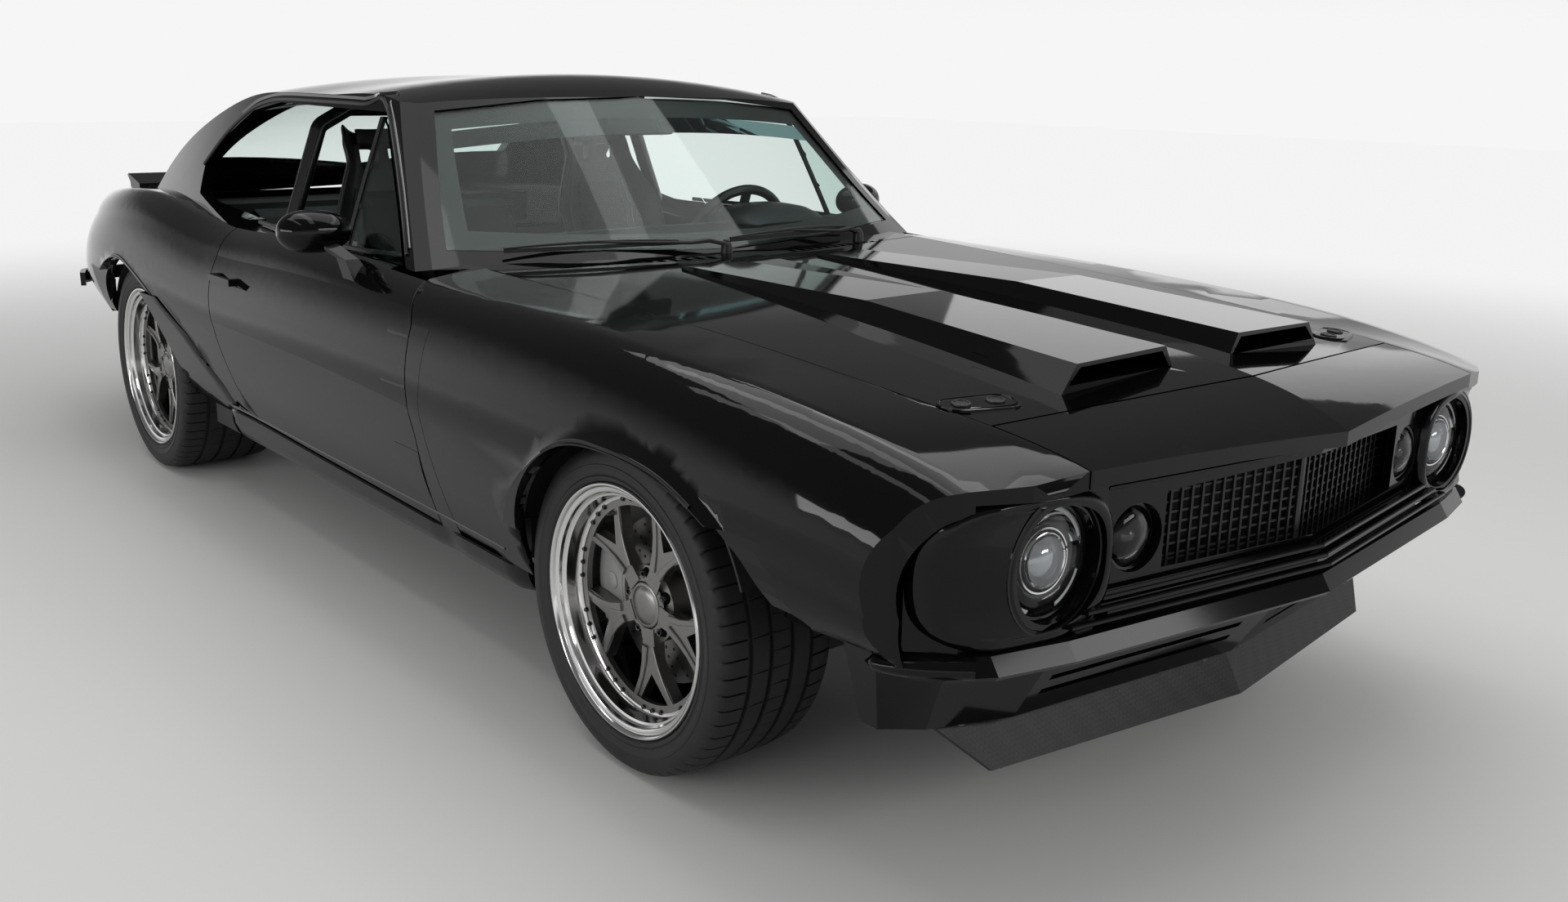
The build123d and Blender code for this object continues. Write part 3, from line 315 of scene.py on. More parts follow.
# Roll hoop: bent steel tube, smoothed and lacquered black.
hoop_lacquer = coated("hoop_lacquer", (0.008, 0.008, 0.0085), (0.09, 0.085, 0.08), 0.22, 700, 0.00008,
                      0.06, coat=0.3)
finish_node("roll_hoop", hoop_lacquer)

# Glass: laminated screen, rear window and fixed vent panes in a faint green tint. A shadow ray
# passes it as if it were open, so that the cabin behind it is lit.
def clear_pane(name, colour, shade, bend=1.25):
    """See-through glass of the given tint."""
    material, tree, shader = new_material(name)
    shader.inputs["Base Color"].default_value = (*colour, 1)
    shader.inputs["Roughness"].default_value = 0.0
    shader.inputs["IOR"].default_value = bend
    shader.inputs["Transmission Weight"].default_value = 1.0
    smear = tree.nodes.new("ShaderNodeTexNoise")
    smear.inputs["Scale"].default_value = 5
    wave = tree.nodes.new("ShaderNodeBump")
    wave.inputs["Strength"].default_value = 0.02
    wave.inputs["Distance"].default_value = 0.0005
    link(tree, smear.outputs["Fac"], wave.inputs["Height"])
    link(tree, wave.outputs["Normal"], shader.inputs["Normal"])
    open_way = tree.nodes.new("ShaderNodeBsdfTransparent")
    open_way.inputs["Color"].default_value = (*shade, 1)
    rays = tree.nodes.new("ShaderNodeLightPath")
    either = tree.nodes.new("ShaderNodeMath")
    either.operation = "MAXIMUM"
    link(tree, rays.outputs["Is Shadow Ray"], either.inputs[0])
    link(tree, rays.outputs["Is Diffuse Ray"], either.inputs[1])
    choice = tree.nodes.new("ShaderNodeMixShader")
    link(tree, either.outputs[0], choice.inputs["Fac"])
    link(tree, shader.outputs["BSDF"], choice.inputs[1])
    link(tree, open_way.outputs["BSDF"], choice.inputs[2])
    link(tree, choice.outputs["Shader"], tree.nodes["Material Output"].inputs["Surface"])
    return material


screen_glass = clear_pane("screen_glass", (0.80, 0.90, 0.87), (0.62, 0.72, 0.69))
for piece in ("windscreen", "rear_window", "vent_glass_left", "vent_glass_right"):
    finish_node(piece, screen_glass)


def give_faces(node_name, material, test):
    """The faces whose middle passes the test take a second finish, such as a bare edge on a painted piece."""
    mesh = nodes[node_name].data
    mesh.materials.append(material)
    index = len(mesh.materials) - 1
    for face in mesh.polygons:
        if test(face.center):
            face.material_index = index


# The vent panes' rear bars are moulded in black trim.
for piece in ("vent_glass_left", "vent_glass_right"):
    give_faces(piece, satin_trim, lambda c: (c.y + 1.4) * 1000 > 1242 + (c.z * 1000 - 862) * 0.19 - 4)

# Tail lamps: red moulded lenses set in the tail panel, with fine level ribs in them.
def ribbed_lens(name, colour, pitch):
    """Moulded lamp plastic with level ribs pressed into it."""
    material, tree, shader = new_material(name)
    shader.inputs["Roughness"].default_value = 0.15
    shader.inputs["IOR"].default_value = 1.4
    place = tree.nodes.new("ShaderNodeTexCoord")
    ribs = tree.nodes.new("ShaderNodeTexWave")
    ribs.bands_direction = "Z"
    ribs.inputs["Scale"].default_value = pitch
    link(tree, place.outputs["Object"], ribs.inputs["Vector"])
    tone = tree.nodes.new("ShaderNodeMix")
    tone.data_type = "RGBA"
    tone.inputs["A"].default_value = (*[v * 0.45 for v in colour], 1)
    tone.inputs["B"].default_value = (*colour, 1)
    link(tree, ribs.outputs["Fac"], tone.inputs["Factor"])
    link(tree, tone.outputs["Result"], shader.inputs["Base Color"])
    press = tree.nodes.new("ShaderNodeBump")
    press.inputs["Distance"].default_value = 0.001
    link(tree, ribs.outputs["Fac"], press.inputs["Height"])
    link(tree, press.outputs["Normal"], shader.inputs["Normal"])
    return material


finish_node("tail_lamps", ribbed_lens("red_lens", (0.20, 0.002, 0.002), 60))

# Chin spoiler: two flat blades of carbon fibre cloth in clear resin, bolted under the valance.
carbon_weave, tree, shader = new_material("carbon_weave")
place = tree.nodes.new("ShaderNodeTexCoord")
turn = tree.nodes.new("ShaderNodeMapping")
turn.inputs["Rotation"].default_value = (0, 0, radians(45))
link(tree, place.outputs["Object"], turn.inputs["Vector"])
tows = tree.nodes.new("ShaderNodeTexChecker")
tows.inputs["Scale"].default_value = 150
tows.inputs["Color1"].default_value = (0.006, 0.006, 0.0065, 1)
tows.inputs["Color2"].default_value = (0.015, 0.015, 0.016, 1)
link(tree, turn.outputs["Vector"], tows.inputs["Vector"])
link(tree, tows.outputs["Color"], shader.inputs["Base Color"])
weave_bump = tree.nodes.new("ShaderNodeBump")
weave_bump.inputs["Strength"].default_value = 0.25
weave_bump.inputs["Distance"].default_value = 0.0002
link(tree, tows.outputs["Fac"], weave_bump.inputs["Height"])
link(tree, weave_bump.outputs["Normal"], shader.inputs["Normal"])
shader.inputs["Roughness"].default_value = 0.34
shader.inputs["IOR"].default_value = 1.3
finish_node("chin_spoiler", carbon_weave)

# Tyres: moulded rubber with four round grooves, cut shoulders and a scuffed, matt sidewall with
# fine raised ribs.
def spot(x, back, z):
    """A place on the car from millimetres across, back from the front axle, and up."""
    return Vector((x / 1000, back / 1000 - 1.4, z / 1000))


def shown(name, shape, finishes, body, sharp=35):
    """Turns a finished shape into a piece of the car that rides on its body."""
    bmesh.ops.remove_doubles(shape, verts=shape.verts, dist=0.00002)
    bmesh.ops.recalc_face_normals(shape, faces=shape.faces)
    mesh = bpy.data.meshes.new(name)
    shape.to_mesh(mesh)
    shape.free()
    for finish in finishes:
        mesh.materials.append(finish)
    mesh.shade_smooth()
    mesh.set_sharp_from_angle(angle=radians(sharp))
    piece = bpy.data.objects.new(name, mesh)
    scene.collection.objects.link(piece)
    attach(piece, body)
    return piece


ACROSS, AHEAD, ALONG, UPWARD = Vector((1, 0, 0)), Vector((0, -1, 0)), Vector((0, 1, 0)), Vector((0, 0, 1))


def turned(shape, centre, axis, profile, angles, finish=0, u=AHEAD, v=UPWARD, closed=False):
    """Ring of revolution: profile holds (distance along the axis, radius) in millimetres, or is a
    function of the turn number that gives such a list."""
    rings = []
    for count, a in enumerate(angles):
        row = profile(count) if callable(profile) else profile
        out = u * cos(a) + v * sin(a)
        rings.append([shape.verts.new(centre + axis * (along / 1000) + out * (r / 1000)) for along,
                      r in row])
    for k, ring in enumerate(rings):
        nxt = rings[(k + 1) % len(rings)]
        pairs = range(len(ring)) if closed else range(len(ring) - 1)
        for j in pairs:
            i = (j + 1) % len(ring)
            face = shape.faces.new((ring[j], ring[i], nxt[i], nxt[j]))
            face.material_index = finish
    return rings


def even(steps, start=0.0):
    return [start + 2 * pi * k / steps for k in range(steps)]


rubber, tree, shader = new_material("tyre_rubber")
place = tree.nodes.new("ShaderNodeTexCoord")
scuff = tree.nodes.new("ShaderNodeTexNoise")
scuff.inputs["Scale"].default_value = 14
scuff.inputs["Detail"].default_value = 10
link(tree, place.outputs["Object"], scuff.inputs["Vector"])
tone = tree.nodes.new("ShaderNodeMix")
tone.data_type = "RGBA"
tone.inputs["A"].default_value = (0.008, 0.008, 0.0085, 1)
tone.inputs["B"].default_value = (0.022, 0.021, 0.020, 1)
link(tree, scuff.outputs["Fac"], tone.inputs["Factor"])
link(tree, tone.outputs["Result"], shader.inputs["Base Color"])
skin_grain = tree.nodes.new("ShaderNodeTexNoise")
skin_grain.inputs["Scale"].default_value = 900
link(tree, place.outputs["Object"], skin_grain.inputs["Vector"])
grain_bump = tree.nodes.new("ShaderNodeBump")
grain_bump.inputs["Strength"].default_value = 0.4
grain_bump.inputs["Distance"].default_value = 0.0003
link(tree, skin_grain.outputs["Fac"], grain_bump.inputs["Height"])
link(tree, grain_bump.outputs["Normal"], shader.inputs["Normal"])
shader.inputs["Roughness"].default_value = 0.52
shader.inputs["IOR"].default_value = 1.42

WHEELS = {
    # place: side, back, radius, tyre width, rim radius, outer side x
    "front_left": (1, 0, 325, 272, 247, 857),
    "front_right": (-1, 0, 325, 272, 247, 857),
    "rear_left": (1, 2743, 339, 330, 257, 860),
    "rear_right": (-1, 2743, 339, 330, 257, 860),
}
PITCHES = 60
CUT = (0.0, 0.03, 0.09, 0.12, 0.4, 0.7)
for place_name, (side_sign, back, radius, width, lip, outer) in WHEELS.items():
    grooves = [width * share for share in (0.24, 0.41, 0.59, 0.76)]

    def tread_profile(count, w=width, r=radius, lip_r=lip, cuts=grooves):
        cut = count % len(CUT) in (1, 2)
        pitch = count // len(CUT)
        half = [(21, lip_r - 17), (19.5, lip_r - 4), (12, lip_r + 2), (8, lip_r + 5), (4.5, lip_r + 9),
                (4, lip_r + 13),
                (6, lip_r + 16), (3.4, lip_r + 24), (2.2, lip_r + 30), (1.2, lip_r + 31),
                (1.0, lip_r + 36),
                (2.2, lip_r + 37), (2.6, lip_r + 46), (4.5, r - 24), (7.5, r - 17)]
        drop = 4.5 if cut else 0.0
        shoulder = [(11.5, r - 12 - drop * 0.4), (17, r - 7.6 - drop), (24, r - 4.8 - drop),
                    (34, r - 3.4 - drop)]
        row = half + shoulder
        for number, middle in enumerate(cuts):
            land = drop if number in (0,
                                      ) else (3.0 if cut and pitch % 2 == number % 2 and number != 3 else 0.0)
            top = r - 2.6 * ((middle - w / 2) / (w / 2)) ** 2 - 0.4
            row += [(middle - 5.5, top - land), (middle - 4.0, r - 8), (middle + 4.0, r - 8)]
            after = drop if number == 3 else (2.6 if cut and number == 1 and pitch % 2 else 0.0)
            row += [(middle + 5.5, top - after)]
        row += [(w - inset, rad) for inset, rad in reversed(shoulder)]
        row += [(w - inset, rad) for inset, rad in reversed(half)]
        return row

    tyre_shape = bmesh.new()
    angles = [2 * pi * (pitch + share) / PITCHES for pitch in range(PITCHES) for share in CUT]
    turned(tyre_shape, spot(side_sign * outer, back, radius), ACROSS * -side_sign, tread_profile, angles)
    ribs = shown("tyre_tread_" + place_name, tyre_shape, [rubber], "wheel_" + place_name,
                 sharp=40)
    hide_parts("tyre_" + place_name)

# Wheels: forged centres in brushed grey bolted into spun aluminium barrels with a deep polished,
# stepped lip. The brake disc and its hub turn with them.
turned_metal = bpy.data.node_groups.new("turned_metal", "ShaderNodeTree")
for socket_name in ("Line Scale", "Smudge Scale"):
    turned_metal.interface.new_socket(name=socket_name, in_out="INPUT", socket_type="NodeSocketFloat")
for socket_name in ("Lines", "Smudge"):
    turned_metal.interface.new_socket(name=socket_name, in_out="OUTPUT", socket_type="NodeSocketFloat")
metal_in = turned_metal.nodes.new("NodeGroupInput")
metal_out = turned_metal.nodes.new("NodeGroupOutput")
metal_place = turned_metal.nodes.new("ShaderNodeTexCoord")
lines = turned_metal.nodes.new("ShaderNodeTexNoise")
lines.inputs["Detail"].default_value = 6
stretch = turned_metal.nodes.new("ShaderNodeMapping")
stretch.inputs["Scale"].default_value = (0.12, 1, 1)
link(turned_metal, metal_place.outputs["Object"], stretch.inputs["Vector"])
link(turned_metal, stretch.outputs["Vector"], lines.inputs["Vector"])
link(turned_metal, metal_in.outputs["Line Scale"], lines.inputs["Scale"])
smudge = turned_metal.nodes.new("ShaderNodeTexNoise")
smudge.inputs["Detail"].default_value = 5
link(turned_metal, metal_place.outputs["Object"], smudge.inputs["Vector"])
link(turned_metal, metal_in.outputs["Smudge Scale"], smudge.inputs["Scale"])
link(turned_metal, lines.outputs["Fac"], metal_out.inputs["Lines"])
link(turned_metal, smudge.outputs["Fac"], metal_out.inputs["Smudge"])


def bare_metal(name, dark, light, rough_low, rough_high, line_scale, bump_depth):
    """Metal that is polished, brushed or machined: fine lines, smudges in the gloss."""
    material, tree, shader = new_material(name)
    marks = tree.nodes.new("ShaderNodeGroup")
    marks.node_tree = turned_metal
    marks.inputs["Line Scale"].default_value = line_scale
    marks.inputs["Smudge Scale"].default_value = 18
    tone = tree.nodes.new("ShaderNodeMix")
    tone.data_type = "RGBA"
    tone.inputs["A"].default_value = (*dark, 1)
    tone.inputs["B"].default_value = (*light, 1)
    link(tree, marks.outputs["Lines"], tone.inputs["Factor"])
    link(tree, tone.outputs["Result"], shader.inputs["Base Color"])
    gloss = tree.nodes.new("ShaderNodeMapRange")
    gloss.inputs["To Min"].default_value = rough_low
    gloss.inputs["To Max"].default_value = rough_high
    link(tree, marks.outputs["Smudge"], gloss.inputs["Value"])
    link(tree, gloss.outputs["Result"], shader.inputs["Roughness"])
    scratch = tree.nodes.new("ShaderNodeBump")
    scratch.inputs["Strength"].default_value = 0.3
    scratch.inputs["Distance"].default_value = bump_depth
    link(tree, marks.outputs["Lines"], scratch.inputs["Height"])
    link(tree, scratch.outputs["Normal"], shader.inputs["Normal"])
    shader.inputs["Metallic"].default_value = 1.0
    return material


polished_lip = bare_metal("polished_lip", (0.62, 0.62, 0.62), (0.78, 0.78, 0.77), 0.05, 0.16, 300,
                          0.00003)
brushed_grey = bare_metal("brushed_grey", (0.20, 0.197, 0.19), (0.33, 0.325, 0.315), 0.26, 0.40, 500,
                          0.00008)
disc_steel = bare_metal("disc_steel", (0.16, 0.157, 0.15), (0.27, 0.265, 0.26), 0.30, 0.42, 700, 0.00005)
bolt_steel = bare_metal("bolt_steel", (0.05, 0.05, 0.052), (0.12, 0.12, 0.12), 0.25, 0.4, 900, 0.00003)
caliper_paint = coated("caliper_paint", (0.30, 0.30, 0.295), (0.25, 0.22, 0.19), 0.32, 500, 0.0003, 0.2,
                       coat=0.3)


def solid_bar(shape, points, half_wide, half_high, upward, finish=0, taper=None):
    """Bar of bevelled oblong section along a line of points; taper gives a width share for each point."""
    rings = []
    last = len(points) - 1
    for k, point in enumerate(points):
        run = (points[min(k + 1, last)] - points[max(k - 1, 0)]).normalized()
        lateral = run.cross(upward).normalized()
        rise = lateral.cross(run).normalized()
        share = taper[k] if taper else 1.0
        w, h = half_wide * share / 1000, half_high * share / 1000
        c = min(w, h) * 0.45
        corners = [(w, h - c), (w - c, h), (c - w, h), (-w, h - c), (-w, c - h), (c - w, -h), (w - c, -h),
                   (w, c - h)]
        rings.append([shape.verts.new(point + lateral * a + rise * b) for a, b in corners])
    for first, second in zip(rings, rings[1:]):
        for j in range(8):
            i = (j + 1) % 8
            shape.faces.new((first[j], first[i], second[i], second[j])).material_index = finish
    shape.faces.new(rings[0]).material_index = finish
    shape.faces.new(rings[-1]).material_index = finish


def round_stud(shape, centre, axis, profile, sides, finish=0, start=0.0):
    """Small turned piece such as a bolt head, closed at its top."""
    u = axis.orthogonal().normalized()
    turned(shape, centre, axis, profile, even(sides, start), finish, u, axis.cross(u))


PAIR_ANGLES = [radians(63 + 72 * k) for k in range(5)]
for place_name, (side_sign, back, radius, width, lip, outer) in WHEELS.items():
    rim_name = "rim_" + place_name
    finish_node(rim_name, brushed_grey, bevel=0.0014)
    hub = spot(side_sign * outer, back, radius)
    inward = ACROSS * -side_sign
    well = lip - 26
    give_faces(rim_name, disc_steel, lambda c, h=hub, d=inward: (c - h).dot(d) > 0.113 and hypot(
        c.y - h.y, c.z - h.z) < 0.17)
    give_faces(rim_name, polished_lip, lambda c, h=hub, d=inward, w=well: hypot(
        c.y - h.y, c.z - h.z) > (w - 4) / 1000)
    detail = bmesh.new()
    # Spun lip with its outer roll, two steps and the flange that the centre is bolted to.
    turned(detail, hub, inward,
           [(9.5, lip + 1), (6.5, lip - 1), (6.2, lip - 4), (8.5, lip - 7), (14, lip - 9), (15, lip - 15),
                                 (17, lip - 18), (26, lip - 20), (27.5, lip - 24), (29, lip - 27.5),
                                 (44, lip - 28.5),
                                 (52, lip - 29.5), (56, lip - 31), (58, lip - 34), (59, lip - 38)],
                                 even(120), 0)
    # Ring of small dark bolts in groups of three between the spoke tips.
    for k in range(10):
        for offset in (-8, 0, 8):
            a = PAIR_ANGLES[0] + radians(36 * k + offset)
            out = AHEAD * cos(a) + UPWARD * sin(a)
            at = hub + out * ((well - 13) / 1000) + inward * 0.062
            round_stud(detail, at, inward,
                       [(0, 6.2), (-2.2, 6.0), (-2.2, 4.4), (-6.0, 4.0), (-6.6, 3.2), (-5.0, 2.2),
                                            (-5.0, 0)], 8, 1)
    # Pockets and nuts on the studs, the valve, and the plain domed cap in its ring.
    for a in PAIR_ANGLES:
        out = AHEAD * cos(a + pi / 5) + UPWARD * sin(a + pi / 5)
        at = hub + out * 0.0603 + inward * 0.086
        round_stud(detail, at, inward,
                   [(0, 11.5), (-3, 11.2), (-4, 9.6), (-17, 8.8), (-19, 7.4), (-18, 5.0), (-12, 4.6),
                                        (-12, 0)], 6, 1, 0.3)
    turned(detail, hub, inward,
           [(72, 45), (67, 44), (65, 41), (65, 38.5), (67.5, 37.5), (67, 36), (63.5, 33), (61, 22),
                                 (60, 10), (59.8, 0)], even(64), 2)
    turned(detail, hub, inward, [(70, 58), (68.2, 57), (68.2, 47), (70, 45.5)], even(64), 2)
    out = AHEAD * cos(PAIR_ANGLES[1] - 0.25) + UPWARD * sin(PAIR_ANGLES[1] - 0.25)
    round_stud(detail, hub + out * ((well - 34) / 1000) + inward * 0.066, inward,
               [(4, 4.5), (-6, 4.2), (-7, 3.4), (-18, 3.2), (-19, 2.6), (-19, 0)], 10, 1)
    # Raised spine along each spoke, and rings of small flat dark discs on the brake disc's face: painted
    # shade where drilled cooling holes would show.
    for centre_angle in PAIR_ANGLES:
        for spread in (-18, 18):
            line = []
            for r, turn_share in ((82, 0.42), (118, 0.55), (150, 0.72), (178, 0.88), (well - 24, 1.0)):
                a = centre_angle + radians(spread * turn_share)
                line.append(hub + (AHEAD * cos(a) + UPWARD * sin(a)) * (r / 1000) + inward * 0.0655)
            solid_bar(detail, line, 5.2, 2.6, inward, 2, [1.5, 1.2, 1.0, 1.0, 1.15])
    # Flat dark satin discs, not holes: painted shade of the cooling holes.
    for ring, r in enumerate((98, 116, 134, 151)):
        for k in range(24):
            a = 2 * pi * (k + ring * 0.27) / 24
            at = hub + (AHEAD * cos(a) + UPWARD * sin(a)) * (r / 1000) + inward * 0.116
            round_stud(detail, at, inward, [(0, 3.6), (-0.6, 3.4), (-0.6, 0)], 8, 3)
    shown("wheel_fittings_" + place_name, detail, [polished_lip, bolt_steel, brushed_grey, satin_trim],
          "wheel_" + place_name, 40)

# Brake calipers: cast six-piston blocks painted light grey, bolted to the upright or the axle.
for place_name, (side_sign, back, radius, width, lip, outer) in WHEELS.items():
    hub = spot(side_sign * outer, back, radius)
    inward = ACROSS * -side_sign
    holder_name = "knuckle_" + place_name[6:] if place_name.startswith("front") else "rear_axle"
    give_faces(holder_name, caliper_paint, lambda c, h=hub,
               d=inward: 0.108 < hypot(c.y - h.y, c.z - h.z) < 0.203
               and 0.094 < (c - h).dot(d) < 0.166 and c.y > h.y + 0.03)
    cover = bmesh.new()
    arc = [radians(152 + 7 * k) for k in range(9)]
    for r, share in ((186, 1.0), (124, 0.8)):
        line = [hub + (AHEAD * cos(a) + UPWARD * sin(a)) * (r / 1000) + inward * 0.0975 for a in arc]
        solid_bar(cover, line, 7 * share, 3.2, inward, 0)
    for a in (radians(157), radians(180), radians(203)):
        at = hub + (AHEAD * cos(a) + UPWARD * sin(a)) * 0.155 + inward * 0.0965
        round_stud(cover, at, inward, [(0, 19), (-2.4, 18), (-3.4, 15.5), (-3.4, 0)], 24, 0)
    for a in (radians(150), radians(210)):
        at = hub + (AHEAD * cos(a) + UPWARD * sin(a)) * 0.176 + inward * 0.0965
        round_stud(cover, at, inward, [(0, 7), (-5, 6.6), (-6, 5.4), (-6, 3), (-3, 2.6), (-3, 0)], 6, 1)
    body = "knuckle_" + place_name[6:] if place_name.startswith("front") else "root"
    shown("caliper_face_" + place_name, cover, [caliper_paint, bolt_steel], body, 40)

# Headlamps: clear domed lens over a black bowl, with a bright-ringed projector and a broken halo.
# Each lamp is clipped into the nose frame from behind.
lamp_black = coated("lamp_black", (0.004, 0.004, 0.0045), (0.05, 0.05, 0.05), 0.12, 300, 0.00003, 0.02,
                    coat=0.4)
bright_ring = bare_metal("bright_ring", (0.7, 0.7, 0.7), (0.85, 0.85, 0.85), 0.04, 0.1, 300, 0.00002)
lamp_clear = clear_pane("lamp_clear", (0.97, 0.98, 0.98), (0.9, 0.9, 0.9))
halo_white = coated("halo_white", (0.72, 0.73, 0.74), (0.5, 0.5, 0.5), 0.3, 500, 0.0002, 0.02, coat=0.4)
# The main projector's lens is a light grey coated disc, not clear glass: its grey is painted sheen standing
# in for the lens's bright reflections.
projector_painted_sheen = coated("projector_painted_sheen", (0.42, 0.44, 0.46), (0.4, 0.4, 0.4), 0.05, 60, 0.0004, 0.0,
                       coat=1.0, metal=0.35)
finish_node("front_lamps", lamp_black)
LAMPS = ((620, 604, 93, -812, True), (434, 612, 57, -828, False))
for side_sign, side_name in ((1, "left"), (-1, "right")):
    bowl = bmesh.new()
    glass = bmesh.new()
    for x, z, r, face_back, is_main in LAMPS:
        centre = spot(side_sign * x, face_back, z)
        u = ACROSS
        turned(bowl, centre, ALONG,
               [(6, r + 1.5), (-3, r + 1.0), (-6, r - 1.5), (-5, r - 6), (2, r - 8.5), (8, r - 9)],
               even(72), 3, u)
        turned(bowl, centre, ALONG, [(8, r - 9), (16, r * 0.80), (22, r * 0.62), (21, r * 0.50)],
               even(72), 0, u)
        # Polished lining over the upper half of the main bowl only, with the lower half left black: painted
        # light, bright above where the lamp faces the ceiling lights and dark below where it lies in shade.
        if is_main:
            turned(bowl, centre, ALONG, [(7, r - 10), (14, r * 0.81), (19.5, r * 0.64)],
                   [radians(8 + 164 * k / 30) for k in range(31)], 1, u)
        eye = r * (0.40 if is_main else 0.34)
        turned(bowl, centre, ALONG,
               [(22, eye + 7), (12, eye + 6), (9, eye + 3.5), (10, eye + 0.5), (13, eye)],
               even(48), 1 if is_main else 3, u)
        # Lens face: light grey painted sheen on the main lamp, plain black on the small one.
        turned(bowl, centre, ALONG,
               [(13, eye), (7, eye * 0.8), (3, eye * 0.5), (1, eye * 0.25), (0.5, 0)], even(48),
               2 if is_main else 0, u)
        if is_main:
            turned(bowl, centre, ALONG,
                   [(20, eye + 13), (16, eye + 12), (16, eye + 9.5), (20, eye + 8.5)], even(48), 1, u)
            for start, stop in ((18, 82), (98, 162), (200, 248), (292, 340)):
                span = [radians(start + (stop - start) * k / 10) for k in range(11)]
                line = [centre + (ACROSS * cos(a) + UPWARD * sin(a)) * (r * 0.82 / 1000) + ALONG * 0.010
                        for a in span]
                solid_bar(bowl, line, 3.0, 2.0, ALONG, 4)
        dome = [(0, r - 6), (-5, r - 8), (-11, r * 0.78), (-16, r * 0.55), (-19, r * 0.3),
                (-20, r * 0.12), (-20, 0)]
        turned(glass, centre, ALONG, dome, even(72), 0, u)
        turned(glass, centre, ALONG, [(along + 2.5, max(0, rad - 1.5)) for along, rad in dome], even(72),
               0, u)
    shown("lamp_inner_" + side_name, bowl,
          [lamp_black, bright_ring, projector_painted_sheen, moulded_black, halo_white], "root",
          40)
    shown("lamp_lens_" + side_name, glass, [lamp_clear], "root", 60)

# Nose: the frame's stepped bars under the grille and its thin upper moulding, all V-shaped in plan.
steps = bmesh.new()
for front, z, half_high, half_wide, reach in ((-922, 533, 4.5, 7, 520), (-930, 518, 4.5, 8, 560),
                                              (-938, 503, 4.0, 8, 600),
                                              (-903, 703, 3.5, 4, 500)):
    for side_sign in (1, -1):
        line = [spot(side_sign * x, front + 0.143 * x, z) for x in (0, reach * 0.25, reach * 0.5,
                                                                    reach * 0.75, reach)]
        solid_bar(steps, line, half_wide, half_high, UPWARD, 0)
shown("nose_steps", steps, [moulded_black], "root", 30)

# Lamp buckets: a deep rounded surround for each headlamp, moulded to the fender's front edge and
# rolled in to the lamp's round rim.
for side_sign, side_name in ((1, "left"), (-1, "right")):
    bucket = bmesh.new()
    rings = []
    count = 96

    def plan_back(x):
        """How far back the fender's front edge lies at that distance from the middle."""
        for (x0, b0), (x1, b1) in zip(((490, -838), (620, -832), (740, -808), (810, -772)),
                                      ((620, -832), (740, -808), (810, -772), (846, -716))):
            if x <= x1:
                return b0 + (b1 - b0) * (x - x0) / (x1 - x0)
        return -716
    for grow, forward, roundness in ((0, 26, 3.2), (0, -4, 3.2), (-5, -13, 3.2), (-12, -17, 3.0),
                                     (-20, -14, 2.8)):
        ring = []
        for k in range(count):
            a = 2 * pi * k / count
            c, s = cos(a), sin(a)
            scale = (abs(c) ** roundness + abs(s) ** roundness) ** (-1 / roundness)
            x = 668 + (170 + grow) * scale * c
            z = 602 + (119 + grow) * scale * s
            ring.append(bucket.verts.new(spot(side_sign * x, plan_back(x) + forward, z)))
        rings.append(ring)
    for r, b in ((109, -838), (104, -840), (100, -836), (98, -822), (97, -806)):
        rings.append([bucket.verts.new(spot(side_sign * (620 + r * cos(2 * pi * k / count)), b,
                                            604 + r * sin(
            2 * pi * k / count))) for k in range(count)])
    for first, second in zip(rings, rings[1:]):
        for j in range(count):
            bucket.faces.new((first[j], first[(j + 1) % count], second[(j + 1) % count], second[j]))
    shown("lamp_bucket_" + side_name, bucket, [moulded_black], "root", 60)

# Front bumper ends: each blade swells into a smooth bullet that hugs the corner of the valance.
ends = bmesh.new()
for side_sign in (1, -1):
    tip, root_end = spot(side_sign * 868, -684, 464), spot(side_sign * 762, -812, 465.5)
    run = (root_end - tip).normalized()
    out = Vector((side_sign * -run.y, side_sign * run.x, 0))
    rings = []
    for k in range(13):
        t = k / 12
        swell = sqrt(1 - (1 - t) ** 2) ** 0.75
        close_in = 1 - 0.16 * max(0.0, (t - 0.55) / 0.45)
        centre = tip.lerp(root_end, t) - out * (0.014 * t)
        rings.append([ends.verts.new(centre + out * (0.041 * swell * close_in * cos(2 * pi * j / 28))
                                     + UPWARD * (0.0245 * swell * close_in * sin(2 * pi * j / 28)))
                      for j in range(28)])
    for first, second in zip(rings, rings[1:]):
        for j in range(28):
            ends.faces.new((first[j], first[(j + 1) % 28], second[(j + 1) % 28], second[j]))
    ends.faces.new(rings[-1])
shown("bumper_bullets", ends, [moulded_black], "root", 60)

# Exhaust tips: rolled, polished steel sleeves clamped over the ends of both pipes.
tips = bmesh.new()
for side_sign in (1, -1):
    centre = spot(side_sign * 215, 3500, 196)
    turned(tips, centre, ALONG,
           [(0, 29), (2, 33), (60, 36), (128, 39), (134, 37.5), (133, 34.5), (60, 32), (20, 24),
                                 (18, 0)], even(40), 0, ACROSS)
shown("exhaust_tips", tips, [polished_lip], "root", 40)

